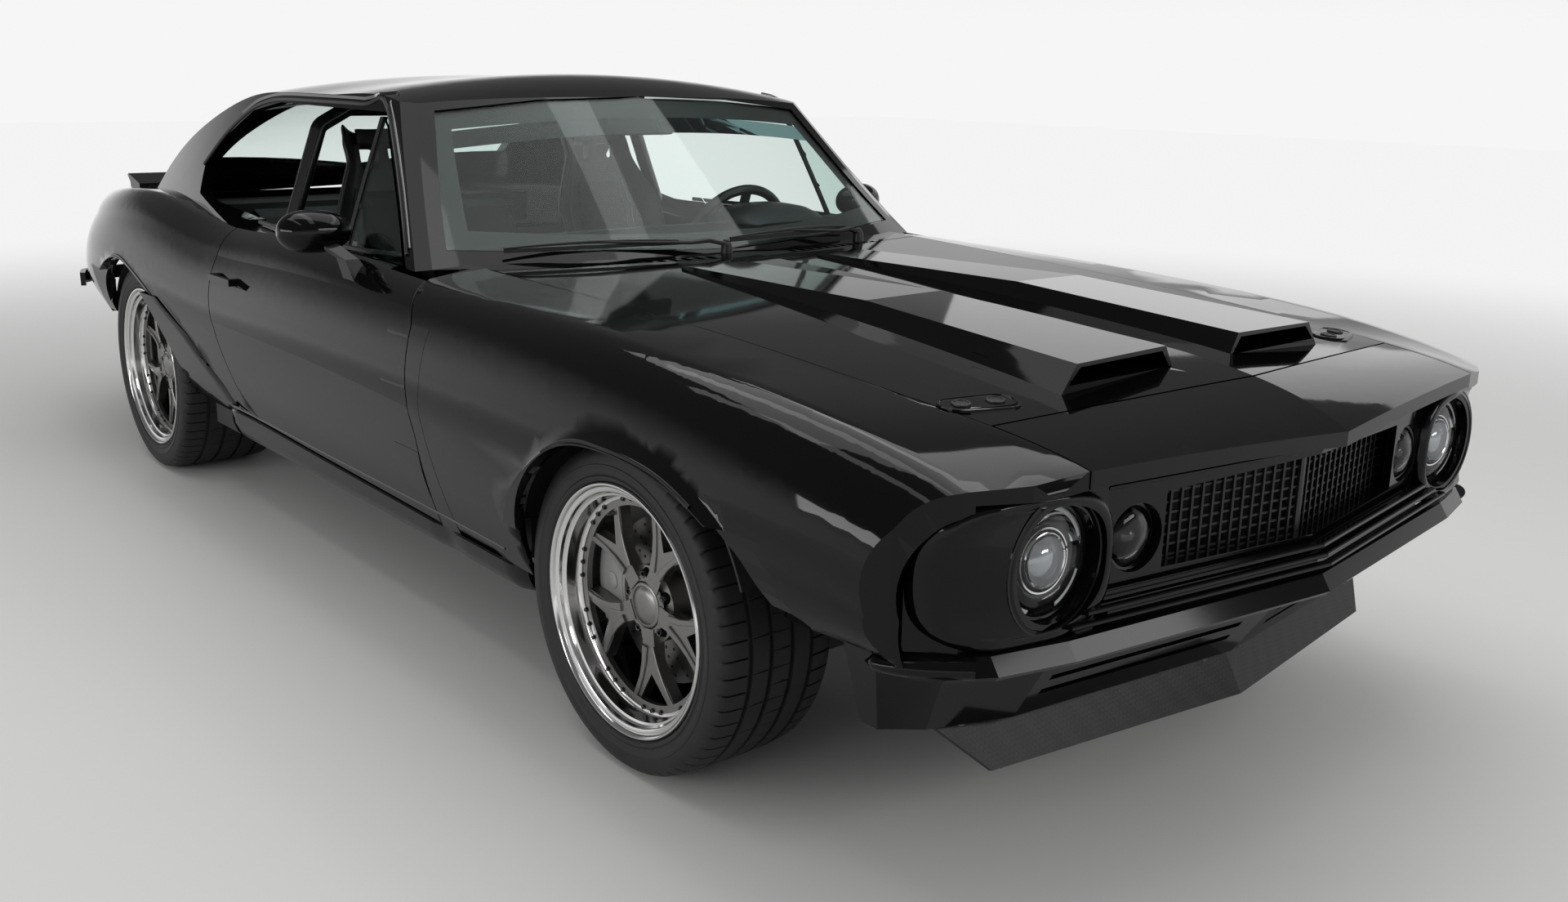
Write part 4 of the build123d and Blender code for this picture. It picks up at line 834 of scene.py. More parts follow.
# Tail lamp bezels: thin black frames screwed over the lenses, with upright dividers.
low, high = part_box("tail_lamps")
bezel_shape = bmesh.new()
lamp_y = high.y + 0.0005
for side_sign in (1, -1):
    x_in, x_out = high.x * 0.0, high.x
    inner_x = min(abs(v.co.x) for v in nodes["tail_lamps"].data.vertices)
    corners = [Vector((side_sign * x, lamp_y, z)) for x,
               z in ((inner_x, low.z), (x_out, low.z), (x_out, high.z),
                                                             (inner_x, high.z), (inner_x, low.z))]
    for start, stop in zip(corners, corners[1:]):
        solid_bar(bezel_shape, [start, stop], 5, 3, ALONG, 0)
    for share in (0.33, 0.66):
        x = side_sign * (inner_x + (x_out - inner_x) * share)
        solid_bar(bezel_shape, [Vector((x, lamp_y, low.z)), Vector((x, lamp_y, high.z))], 3, 2.4, ALONG,
                  0)
shown("tail_lamp_bezels", bezel_shape, [moulded_black], "root", 40)

# Chin spoiler fixings: a row of dark button screws through the carbon into the valance floor.
screws = bmesh.new()
for side_sign in (1, -1):
    for k in range(6):
        share = (k + 0.5) / 6
        x = 671 * share
        at = spot(side_sign * x, -760 + 112 * share, 276)
        lean = Vector((side_sign * 0.14, -0.86, 0.49)).normalized()
        round_stud(screws, at, -lean, [(4, 7), (-2.0, 7), (-4.0, 5), (-4.4, 3), (-3, 2.4), (-3, 0)], 12,
                   0)
shown("chin_screws", screws, [bolt_steel], "root", 40)

# Hood latches: flush oval plates with two push studs, let into the hood's front corners.
def touch(names, start, direction):
    """The first point on the named CAD nodes that a straight line meets, with the surface's outward side."""
    best = None
    for name in names:
        hit, place, normal, _ = nodes[name].ray_cast(start, direction)
        if hit and (best is None or (place - start).length < (best[0] - start).length):
            best = (place, normal)
    return best


for side_sign, side_name in ((1, "left"), (-1, "right")):
    corners = [touch(["hood"], spot(side_sign * x, b, 1100), -UPWARD)
               for x, b in ((430, -600), (600, -530), (500, -520))]
    a, b, c = [corner[0] for corner in corners]
    lift = (b - a).cross(c - a).normalized()
    lift = lift if lift.z > 0 else -lift
    centre = spot(side_sign * 552, -600, 0)
    centre.z = a.z - (lift.x * (centre.x - a.x) + lift.y * (centre.y - a.y)) / lift.z
    long_way = (ACROSS * side_sign * 0.95 + ALONG * 0.30)
    long_way = (long_way - lift * long_way.dot(lift)).normalized()
    short_way = lift.cross(long_way)
    plate = bmesh.new()
    knob = touch(["hood"], centre + UPWARD * 0.3, -UPWARD)
    sit = max(0.0, (knob[0] - centre).dot(lift) * 1000) if knob else 0.0
    centre = centre + lift * ((min(sit, 6.0) - 3.5) / 1000)

    def oval(length, breadth, height, shape=plate, o=centre, l=long_way, s=short_way, n=lift):
        row = []
        for k in range(40):
            t = 2 * pi * k / 40
            shift = length if cos(t) > 0 else -length
            row.append(shape.verts.new(o + l * ((shift + breadth * cos(t)) / 1000)
                                       + s * (breadth * sin(t) / 1000) + n * (height / 1000)))
        return row
    rows = [oval(38, 33, -7), oval(38, 33, 5.5), oval(38, 31.5, 7), oval(38, 29, 7), oval(38, 27.5, 5.4),
            oval(38, 4, 5.4)]
    for first, second in zip(rows, rows[1:]):
        for j in range(40):
            plate.faces.new((first[j], first[(j + 1) % 40], second[(j + 1) % 40], second[j]))
    plate.faces.new(rows[-1])
    for shift in (-34, 30):
        round_stud(plate, centre + long_way * (shift / 1000) + lift * 0.0055, -lift,
                   [(1, 17), (-2.2, 16.4), (-3.0, 15), (-3.0, 12.5), (-1.8, 12), (-1.8, 0)], 28, 1)
    shown("hood_latch_" + side_name, plate, [gloss_black, satin_trim], "hood", 35)

# Cowl vents: black wire mesh screwed behind the slots at the foot of the screen.
mesh_shape = bmesh.new()
for side_sign in (1, -1):
    for x in range(110, 490, 9):
        back = 652 + 0.147 * (x - 120)
        solid_bar(mesh_shape,
                  [spot(side_sign * x, back - 22, 848 + 0.002 * x), spot(side_sign * x, back + 24, 852)],
                  1.1, 1.1, UPWARD)
    for row in range(6):
        line = [spot(side_sign * x, 652 + 0.147 * (x - 120) - 18 + 8 * row, 850) for x in (112, 300, 488)]
        solid_bar(mesh_shape, line, 1.1, 1.1, UPWARD)
shown("cowl_mesh", mesh_shape, [satin_trim], "root", 40)

# Window surrounds: black rubber channels and a thin bright drip moulding over each side opening.
def smooth_line(points, steps=8):
    """Rounded line through the points."""
    line = []
    last = len(points) - 1
    for k in range(last):
        p0, p1, p2, p3 = points[max(k - 1, 0)], points[k], points[k + 1], points[min(k + 2, last)]
        for j in range(steps):
            t = j / steps
            line.append(tuple(0.5 * (2 * b + (c - a) * t + (2 * a - 5 * b + 4 * c - d) * t * t
                                     + (3 * b - a - 3 * c + d) * t ** 3)
                              for a, b, c, d in zip(p0, p1, p2, p3)))
    line.append(tuple(points[-1]))
    return line


def on_side(names, side_sign, back, z, lift):
    """The place on the car's side at that station and height, lifted off the surface."""
    met = touch(names, spot(side_sign * 1200, back, z), ACROSS * -side_sign)
    if met is None:
        return None
    return met[0] + ACROSS * (side_sign * lift / 1000)


SIDE_OPENING = [(962, 886), (1292, 1204), (1420, 1212), (1700, 1213), (1940, 1211), (2060, 1200),
                (2146, 1182),
                (2222, 1150), (2306, 1103), (2425, 1006)]
bright_trim = bare_metal("bright_trim", (0.10, 0.10, 0.102), (0.17, 0.17, 0.172), 0.12, 0.22, 400,
                         0.00002)
for side_sign, side_name in ((1, "left"), (-1, "right")):
    channel = bmesh.new()
    line = [on_side(["roof"], side_sign, b, z + 3, 1.0) for b, z in smooth_line(SIDE_OPENING, 5)]
    line = [point for point in line if point is not None]
    solid_bar(channel, line, 5, 3.5, ACROSS * side_sign, 0)
    line = [on_side(["roof"], side_sign, b, z + 17, 1.5) for b, z in smooth_line(SIDE_OPENING[:8], 5)]
    line = [point for point in line if point is not None]
    solid_bar(channel, line, 5, 3, ACROSS * side_sign, 1)
    belt = [on_side(["door_" + side_name], side_sign, b, 868, 0.5) for b in range(900, 1980, 60)]
    belt = [point + UPWARD * 0.012 - ACROSS * (side_sign * 0.012) for point in belt if point is not None]
    solid_bar(channel, belt, 6, 4, ACROSS * side_sign, 0)
    shown("window_channel_" + side_name, channel, [satin_trim, bright_trim], "root", 40)

# Screen border: the black ceramic band fired round the inside of the screen, and a green shade
# band along its top.
LEVELS = ((850, 684, 764, 868), (980, 842, 708, 1004), (1100, 984, 660, 1114), (1310, 1230, 566, 1296))


def screen_spot(share, z, inset):
    """A place on the screen: share runs from -1 at the right pillar to 1 at the left one."""
    for low, high in zip(LEVELS, LEVELS[1:]):
        if z <= high[0] or high is LEVELS[-1]:
            t = (z - low[0]) / (high[0] - low[0])
            middle, corner_x, corner_back = [low[i] + (high[i] - low[i]) * t for i in (1, 2, 3)]
            break
    s = abs(share)
    back = middle + (corner_back - middle) * (0.04 * s + 0.96 * s * s) + inset
    return spot(share * (corner_x - inset * 0.6), back, z)


border = bmesh.new()
shade = bmesh.new()


def strip(shape, outer_line, inner_line):
    """A thin band between two lines of points."""
    first = [shape.verts.new(p) for p in outer_line]
    second = [shape.verts.new(p) for p in inner_line]
    for k in range(len(first) - 1):
        shape.faces.new((first[k], first[k + 1], second[k + 1], second[k]))


shares = [-0.99 + 1.98 * k / 36 for k in range(37)]


def top_z(share):
    return 1236 - 34 * share * share


def foot_z(share):
    return 872 + 26 * share * share


strip(border, [screen_spot(s, foot_z(s), 13) for s in shares],
      [screen_spot(s, foot_z(s) + 46, 13) for s in shares])
strip(border, [screen_spot(s, top_z(s), 13) for s in shares],
      [screen_spot(s, top_z(s) - 48, 13) for s in shares])
for end in (-1, 1):
    heights = [foot_z(1) + (top_z(1) - foot_z(1)) * k / 16 for k in range(17)]
    strip(border, [screen_spot(end * 0.995, z, 13) for z in heights],
          [screen_spot(end * 0.885, z, 13) for z in heights])
shown("screen_border", border, [satin_trim], "root", 60)
strip(shade, [screen_spot(s * 0.9, top_z(s) - 46, 13.5) for s in shares],
      [screen_spot(s * 0.9, top_z(s) - 86, 13.5) for s in shares])
shade_band = clear_pane("shade_band", (0.10, 0.26, 0.28), (0.3, 0.5, 0.5))
shown("screen_shade", shade, [shade_band], "root", 60)

# Wheel arches: the flare dies into the skin toward its feet, where the body tucks under.
def trim_feet(node_name, areas):
    """Cuts a flare back to its panel's skin: each area has stations, a sampling station, and a top height."""
    cutter = bmesh.new()
    for side_sign in (1, -1):
        for b0, b1, sample, foot, top in areas:
            levels = [140 + 20 * k for k in range(int((top - 140) / 20) + 1)]
            inner, outer_row = [], []
            for z in levels:
                met = on_side([node_name], side_sign, sample, max(z, foot + 4), 0) if z >= foot else None
                reach = abs(met.x) * 1000 + 6 if met is not None else 640
                inner.append([cutter.verts.new(spot(side_sign * reach, b, z)) for b in (b0, b1)])
                outer_row.append([cutter.verts.new(spot(side_sign * 1060, b, z)) for b in (b0, b1)])
            for k in range(len(levels) - 1):
                for rows in (inner, outer_row):
                    cutter.faces.new((rows[k][0], rows[k][1], rows[k + 1][1], rows[k + 1][0]))
                for e in (0, 1):
                    cutter.faces.new((inner[k][e], inner[k + 1][e], outer_row[k + 1][e], outer_row[k][e]))
            for k in (0, -1):
                cutter.faces.new((inner[k][0], inner[k][1], outer_row[k][1], outer_row[k][0]))
    bmesh.ops.recalc_face_normals(cutter, faces=cutter.faces)
    mesh = bpy.data.meshes.new(node_name + "_cutter")
    cutter.to_mesh(mesh)
    cutter.free()
    tool = bpy.data.objects.new(node_name + "_cutter", mesh)
    scene.collection.objects.link(tool)
    tool.hide_render = True
    tool.hide_viewport = True
    weld = nodes[node_name].modifiers.new("join", "WELD")
    weld.merge_threshold = 0.00001
    cut = nodes[node_name].modifiers.new("trim_feet", "BOOLEAN")
    cut.operation = "DIFFERENCE"
    cut.solver = "EXACT"
    cut.object = tool


trim_feet("fenders", ((150, 440, 430, 284, 600), (-650, -240, -625, 448, 600)))
trim_feet("quarters", ((2880, 3180, 3170, 462, 640), (2040, 2450, 2036, 306, 600)))

# Wheelhouses: round liners of pressed steel under the arches, sprayed matt black.
liner_shape = bmesh.new()
for side_sign in (1, -1):
    for back, axle_z, reach, x_in, x_out, first, last in ((0, 325, 384, 560, 844, 13, 158),
                                                          (2743, 339, 371, 480, 844, 26, 172)):
        angles = [radians(first + (last - first) * k / 40) for k in range(41)]
        rows = []
        for x, grow in ((x_in, -60), (x_in, 0), (x_out, 0), (x_out, 5), (x_in - 4, 5)):
            rows.append([liner_shape.verts.new(spot(side_sign * x, back + (reach + grow) * cos(a),
                                                    axle_z + (reach + grow)
                                                    * sin(a))) for a in angles])
        for p, q in zip(rows, rows[1:]):
            for j in range(40):
                liner_shape.faces.new((p[j], p[j + 1], q[j + 1], q[j]))
liners = shown("wheelhouse_liners", liner_shape, [chassis_black], "root", 40)
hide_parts("wheel_liners")

# Quarter feet: the painted skin ahead of each rear wheel, which follows the tyre round and rises
# from the sill, with its edge turned in.
def between_points(table, value):
    """Straight-line reading of a small table of (value, result) pairs."""
    for (v0, r0), (v1, r1) in zip(table, table[1:]):
        if value <= v1:
            return r0 + (r1 - r0) * (value - v0) / (v1 - v0)
    return table[-1][1]


for side_sign, side_name in ((1, "left"), (-1, "right")):
    foot = bmesh.new()
    rows = []
    for step in range(18):
        z_row = 318 + 18 * step
        edge = between_points(((300, 2060), (400, 2103), (534, 2253), (621, 2440), (660, 2540)), z_row)
        round_b = 2743 - sqrt(max(1.0, 374 ** 2 - (z_row - 339) ** 2))
        met = on_side(["quarters"], side_sign, 2032, z_row, 0.4)
        ahead_met = on_side(["quarters"], side_sign, 1940, z_row, 0.4)
        row = []
        stations = [edge - 74,
                    edge - 52] + [edge - 52 + (round_b - edge + 52) * k / 8 for k in range(1, 9)]
        for number, b in enumerate(stations):
            z = max(z_row, between_points(((1800, 322), (2066, 352), (2334, 396), (2600, 440)), b))
            level_met = met if z == z_row else on_side(["quarters"], side_sign, 2032, z, 0.4)
            lift = 0.0 if number == 0 else 0.0065
            x = abs(level_met.x) + lift + 0.00001 * (b - 2032)
            row.append(foot.verts.new(Vector((side_sign * x, b / 1000 - 1.4, z / 1000))))
        last = row[-1].co
        row.append(foot.verts.new(last - ACROSS * (side_sign * 0.05) + ALONG * 0.001))
        rows.append(row)
    for p, q in zip(rows, rows[1:]):
        for j in range(len(p) - 1):
            foot.faces.new((p[j], p[j + 1], q[j + 1], q[j]))
    shown("quarter_foot_" + side_name, foot, [gloss_black], "root", 50)

# Fender hem: the folded rear edge of each fender, which leans back toward the sill and the belt.
def hem_back(middle, z):
    """Back position of the hem at height z, from its position at the door's middle."""
    return middle + 43 * max(0.0, (530 - z) / 225) + 4 * min(1.0, max(0.0, (z - 530) / 70)) \
        + 27 * max(0.0, (z - 600) / 165)


# Sills: painted rocker covers under the doors, rolled under to the floor's edge.
for side_sign, side_name in ((1, "left"), (-1, "right")):
    sill_shape = bmesh.new()
    rows = []
    for k in range(44):
        b = 392 + (2112 - 392) * k / 43
        z_top = 299 + 22 * min(1.0, max(0.0, (b - 757) / 1087))
        met = on_side(["door_" + side_name, "fenders", "quarters"], side_sign, b, z_top + 14, 0)
        x0 = abs(met.x) * 1000 if met is not None else 826
        x0 = min(max(x0, 818), 836) - 2
        tuck = 0 if 0 < k < 43 else 16
        rows.append([sill_shape.verts.new(spot(side_sign * (x0 + dx - tuck), b, z)) for dx, z in (
            (-26, z_top), (-3, z_top), (0, z_top - 4), (-2, 284), (-7, 266), (-14, 250), (-24, 238),
            (-60, 236))])
    for p, q in zip(rows, rows[1:]):
        for j in range(7):
            sill_shape.faces.new((p[j], p[j + 1], q[j + 1], q[j]))
    for row in (rows[0], rows[-1]):
        sill_shape.faces.new(row)
    shown("sill_cover_" + side_name, sill_shape, [gloss_black], "root", 40)
    # Skin over both hinges at the door's front edge.
    skin = bmesh.new()
    for z_high, z_low, bulge in ((488, 372, 0.003), (746, 634, 0.0012)):
        rows = []
        for k in range(8):
            b = 716 + 126 * k / 7
            high = on_side(["door_" + side_name], side_sign, max(b, 748), z_high, 0.6)
            low = on_side(["door_" + side_name], side_sign, max(b, 760), z_low, 0.6)
            if high is None or low is None:
                continue
            row = []
            for step in range(9):
                t = step / 8
                point = high.lerp(low, t) + ACROSS * (side_sign * bulge * sin(pi * t))
                z = point.z * 1000
                edge_back = hem_back(715, z)
                point.y = max(b, edge_back) / 1000 - 1.4
                row.append(skin.verts.new(point))
            rows.append(row)
        for p, q in zip(rows, rows[1:]):
            for j in range(8):
                skin.faces.new((p[j], p[j + 1], q[j + 1], q[j]))
    shown("door_skin_" + side_name, skin, [gloss_black], "door_" + side_name, 60)
    wing = bmesh.new()
    rows = []
    for z in range(290, 771, 20):
        met = on_side(["fenders"], side_sign, 660, z, 0.5)
        ahead_met = on_side(["fenders"], side_sign, 560, z, 0.5)
        slope = max(-0.00004, min(0.00004, (met.x - ahead_met.x) / 100))
        edge_back = hem_back(709, z)
        row = []
        for k in range(7):
            b = 662 + (edge_back - 662) * k / 6
            row.append(wing.verts.new(Vector((met.x + slope * (b - 660), b / 1000 - 1.4, z / 1000))))
        rows.append(row + [wing.verts.new(row[-1].co - ACROSS * (side_sign * 0.03))])
    for p, q in zip(rows, rows[1:]):
        for j in range(7):
            wing.faces.new((p[j], p[j + 1], q[j + 1], q[j]))
    shown("wing_skin_" + side_name, wing, [gloss_black], "root", 60)

# Side mouldings: a thin rolled edge round each wheel arch and a bright strip along the sill.
FRONT_LIP = [(334, 290), (316, 430), (233, 545), (86, 641), (-61, 660), (-240, 641), (-420, 563),
             (-530, 464)]
REAR_LIP = [(356, 330), (335, 470), (262, 590), (140, 672), (-2, 702), (-159, 670), (-303, 621),
            (-490, 534), (-640, 400)]
for side_sign, side_name in ((1, "left"), (-1, "right")):
    edge = bmesh.new()
    for table, axle, names in ((FRONT_LIP, 0, ["fenders"]), (REAR_LIP, 2743, ["quarters"])):
        middle = (0, 325)
        line = []
        for b, z in smooth_line(table, 8):
            away = hypot(b, z - 325)
            b2, z2 = b * (1 + 7 / away), 325 + (z - 325) * (1 + 7 / away)
            point = on_side(names, side_sign, axle + b2, z2, 0.3)
            if point is None or (line and abs(point.x - line[-1].x) > 0.02):
                continue
            if z2 > 612 and not (axle and b2 > 60):
                line.append(point)
        if len(line) > 3:
            solid_bar(edge, line, 4.5, 2.2, ACROSS * side_sign, 0)
    sill = [on_side(["fenders", "floor_pan", "quarters", "door_" + side_name], side_sign, b, 334, 0.0)
            for b in range(430, 2100, 60)]
    sill = [point for point in sill if point is not None and abs(point.x) > 0.78]
    solid_bar(edge, sill, 3.0, 1.8, ACROSS * side_sign, 1)
    shown("side_mouldings_" + side_name, edge, [gloss_black, bright_trim], "root",
          50)

# Wipers: pressed arms on splined posts, with sprung frames that hold rubber blades on the glass.
blades = bmesh.new()
for pivot, far_end, near_end in (((-49, 700, 886), (-600, 834, 903), (-165, 744, 905)),
                                 ((440, 742, 884), (-20, 722, 905), (430, 786, 905))):
    base, tip_a, tip_b = [spot(*p) for p in (pivot, far_end, near_end)]
    middle = tip_a.lerp(tip_b, 0.5)
    knee = base.lerp(middle, 0.28) + UPWARD * 0.012
    solid_bar(blades,
              [base + UPWARD * 0.010, base.lerp(knee, 0.5) + UPWARD * 0.013, knee,
               middle + UPWARD * 0.008], 7, 4,
              UPWARD, 0, [1.4, 1.35, 1.0, 0.6])
    round_stud(blades, base + UPWARD * -0.016, -UPWARD,
               [(0, 15), (-22, 14), (-28, 12), (-30, 9), (-36, 8), (-38, 6), (-38, 0)],
               20, 0)
    frame_line = [tip_a.lerp(tip_b,
                             k / 8) + UPWARD * (0.003 + 0.006 * (1 - ((k - 4) / 4) ** 2)) for k in range(9)]
    solid_bar(blades, frame_line, 4.5, 3.0, UPWARD, 0, [0.7, 0.85, 1, 1.1, 1.3, 1.1, 1, 0.85, 0.7])
    rubber_line = [tip_a.lerp(tip_b, k / 8) - UPWARD * 0.003 for k in range(9)]
    solid_bar(blades, rubber_line, 2.0, 4.5, UPWARD, 1)
wiper_set = shown("wiper_set", blades, [satin_trim, rubber], "root", 35)
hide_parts("wipers")

# Door mirrors: silvered glass let into the back of each shell.
mirror_silver = bare_metal("mirror_silver", (0.80, 0.82, 0.82), (0.86, 0.87, 0.87), 0.01, 0.04, 40,
                           0.000005)
for side_sign, side_name in ((1, "left"), (-1, "right")):
    low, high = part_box("mirror_" + side_name)
    pane = bmesh.new()
    tilt = radians(10) * side_sign
    face_way = Vector((-sin(tilt), cos(tilt), 0))
    wide_way = Vector((cos(tilt), sin(tilt), 0))
    centre = spot(side_sign * 890, 1225, 925) + face_way * 0.0245
    rows = []
    for grow, lift_off in ((1.0, 0.0), (0.96, 0.0015), (0.94, 0.0008), (0.5, 0.0008), (0.02, 0.0008)):
        rows.append([pane.verts.new(centre + wide_way * (0.074 * grow * cos(2 * pi * k / 40))
                                    + UPWARD * (0.040 * grow * sin(2 * pi * k / 40))
                                    + face_way * lift_off) for k in range(40)])
    for first, second in zip(rows, rows[1:]):
        for j in range(40):
            face = pane.faces.new((first[j], first[(j + 1) % 40], second[(j + 1) % 40], second[j]))
            face.material_index = 0 if first is rows[0] or first is rows[1] else 1
    shown("mirror_glass_" + side_name, pane, [satin_trim, mirror_silver], "door_" + side_name,
          30)

# Cabin finishes: black leather with a fine pebble grain on seats, dash top, wheel and door tops.
hide_grain = bpy.data.node_groups.new("hide_grain", "ShaderNodeTree")
for socket_name in ("Pebble Scale", "Crease Scale"):
    hide_grain.interface.new_socket(name=socket_name, in_out="INPUT", socket_type="NodeSocketFloat")
for socket_name in ("Pebble", "Crease"):
    hide_grain.interface.new_socket(name=socket_name, in_out="OUTPUT", socket_type="NodeSocketFloat")
hide_in = hide_grain.nodes.new("NodeGroupInput")
hide_out = hide_grain.nodes.new("NodeGroupOutput")
hide_place = hide_grain.nodes.new("ShaderNodeTexCoord")
pebble = hide_grain.nodes.new("ShaderNodeTexVoronoi")
pebble.feature = "SMOOTH_F1"
crease = hide_grain.nodes.new("ShaderNodeTexNoise")
crease.inputs["Detail"].default_value = 7
for texture, socket in ((pebble, "Pebble Scale"), (crease, "Crease Scale")):
    link(hide_grain, hide_place.outputs["Object"], texture.inputs["Vector"])
    link(hide_grain, hide_in.outputs[socket], texture.inputs["Scale"])
link(hide_grain, pebble.outputs["Distance"], hide_out.inputs["Pebble"])
link(hide_grain, crease.outputs["Fac"], hide_out.inputs["Crease"])


def hide(name, dark, light, rough, pebble_scale, depth):
    """Leather or woven trim: pebbled height, a tone that wanders, gloss worn where it creases."""
    material, tree, shader = new_material(name)
    grain = tree.nodes.new("ShaderNodeGroup")
    grain.node_tree = hide_grain
    grain.inputs["Pebble Scale"].default_value = pebble_scale
    grain.inputs["Crease Scale"].default_value = 9
    tone = tree.nodes.new("ShaderNodeMix")
    tone.data_type = "RGBA"
    tone.inputs["A"].default_value = (*dark, 1)
    tone.inputs["B"].default_value = (*light, 1)
    link(tree, grain.outputs["Crease"], tone.inputs["Factor"])
    link(tree, tone.outputs["Result"], shader.inputs["Base Color"])
    worn = tree.nodes.new("ShaderNodeMapRange")
    worn.inputs["To Min"].default_value = rough - 0.08
    worn.inputs["To Max"].default_value = rough + 0.08
    link(tree, grain.outputs["Crease"], worn.inputs["Value"])
    link(tree, worn.outputs["Result"], shader.inputs["Roughness"])
    press = tree.nodes.new("ShaderNodeBump")
    press.inputs["Strength"].default_value = 0.5
    press.inputs["Distance"].default_value = depth
    link(tree, grain.outputs["Pebble"], press.inputs["Height"])
    link(tree, press.outputs["Normal"], shader.inputs["Normal"])
    return material


black_leather = hide("black_leather", (0.008, 0.008, 0.0085), (0.018, 0.018, 0.019), 0.42, 420, 0.0005)
seat_fabric = hide("seat_fabric", (0.010, 0.010, 0.011), (0.022, 0.022, 0.023), 0.75, 900, 0.0006)
grey_thread = coated("grey_thread", (0.09, 0.09, 0.09), (0.1, 0.1, 0.1), 0.6, 900, 0.0002, 0.0)
for piece in ("dashboard", "steering_wheel", "front_seats", "rear_seat"):
    finish_node(piece, black_leather)
wheel_edge = nodes["steering_wheel"].modifiers.new("rounded_edge", "BEVEL")
wheel_edge.width = 0.003
wheel_edge.segments = 2

# Front seats: high-backed buckets. A moulded shell carries raised side bolsters, two harness slots
# under the headrest, and separate foam pads covered in fabric.
SEAT_LINE = [(1338, 384), (1350, 420), (1400, 432), (1520, 416), (1640, 398), (1712, 396), (1756, 424),
             (1782, 480),
             (1822, 600), (1866, 730), (1908, 860), (1934, 960), (1950, 1050), (1968, 1100), (2000, 1118)]
seat_curve = smooth_line(SEAT_LINE, 4)
COLUMNS = 17
ROWS = len(seat_curve)


def seat_form(row, column, lift, centre_x):
    """A place on the seat's face: row along the cushion and up the back, column across it."""
    share = row / (ROWS - 1)
    across = (column / (COLUMNS - 1)) * 2 - 1
    b, z = seat_curve[row]
    b0, z0 = seat_curve[max(row - 1, 0)]
    b1, z1 = seat_curve[min(row + 1, ROWS - 1)]
    run = Vector((0, b1 - b0, z1 - z0)).normalized()
    out = Vector((0, -run.z, run.y))
    half = 196 if share < 0.72 else 196 - 74 * min(1, (share - 0.72) / 0.12) + 0
    if share > 0.9:
        half = 122 - 20 * (share - 0.9) / 0.1
    if share < 0.12:
        half = 180 + 16 * share / 0.12
    wing = 62 if share < 0.35 else 84
    if share > 0.70:
        wing = 84 - 50 * min(1, (share - 0.70) / 0.2)
    wing *= min(1, 0.35 + share / 0.12)
    rise = wing * max(0.0, (abs(across) - 0.58) / 0.42) ** 1.5
    return spot(centre_x + across * half, b, z) + out * ((rise + lift) / 1000)


for side_sign, side_name in ((1, "left"), (-1, "right")):
    centre_x = side_sign * 370
    shell_shape = bmesh.new()
    front_face = [[shell_shape.verts.new(seat_form(r, c, 0,
                                                   centre_x)) for c in range(COLUMNS)] for r in range(ROWS)]
    back_face = [[shell_shape.verts.new(seat_form(r, c, -46 if 3 < c < COLUMNS - 4 else -30, centre_x))
                  for c in range(COLUMNS)] for r in range(ROWS)]
    holes = {(r, c) for r in range(47, 50) for c in (4, 5, 6, 10, 11, 12)}

    def used(r, c):
        return 0 <= r < ROWS - 1 and 0 <= c < COLUMNS - 1 and (r, c) not in holes

    for r in range(ROWS - 1):
        for c in range(COLUMNS - 1):
            if not used(r, c):
                continue
            f, g = front_face, back_face
            shell_shape.faces.new((f[r][c], f[r][c + 1], f[r + 1][c + 1], f[r + 1][c]))
            shell_shape.faces.new((g[r][c], g[r + 1][c], g[r + 1][c + 1], g[r][c + 1]))
            for dr, dc, p, q in ((-1, 0, (r, c), (r, c + 1)), (1, 0, (r + 1, c + 1), (r + 1, c)),
                                 (0, -1, (r + 1, c), (r, c)), (0, 1, (r, c + 1), (r + 1, c + 1))):
                if not used(r + dr, c + dc):
                    shell_shape.faces.new((f[p[0]][p[1]], g[p[0]][p[1]], g[q[0]][q[1]], f[q[0]][q[1]]))
    seat_piece = shown("seat_shell_" + side_name, shell_shape, [black_leather], "root",
                       70)
    soften = seat_piece.modifiers.new("soften", "SUBSURF")
    soften.levels = soften.render_levels = 2
    if side_name == "right":
        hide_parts("front_seats")
    rails = bmesh.new()
    for x in (-155, 155):
        solid_bar(rails, [spot(centre_x + x, 1405, 268), spot(centre_x + x, 1845, 268)], 14, 9, UPWARD, 0)
        for b in (1440, 1800):
            solid_bar(rails, [spot(centre_x + x, b, 262), spot(centre_x + x, b, 372)], 12, 5, ALONG, 0)
    shown("seat_rails_" + side_name, rails, [chassis_black], "root", 40)


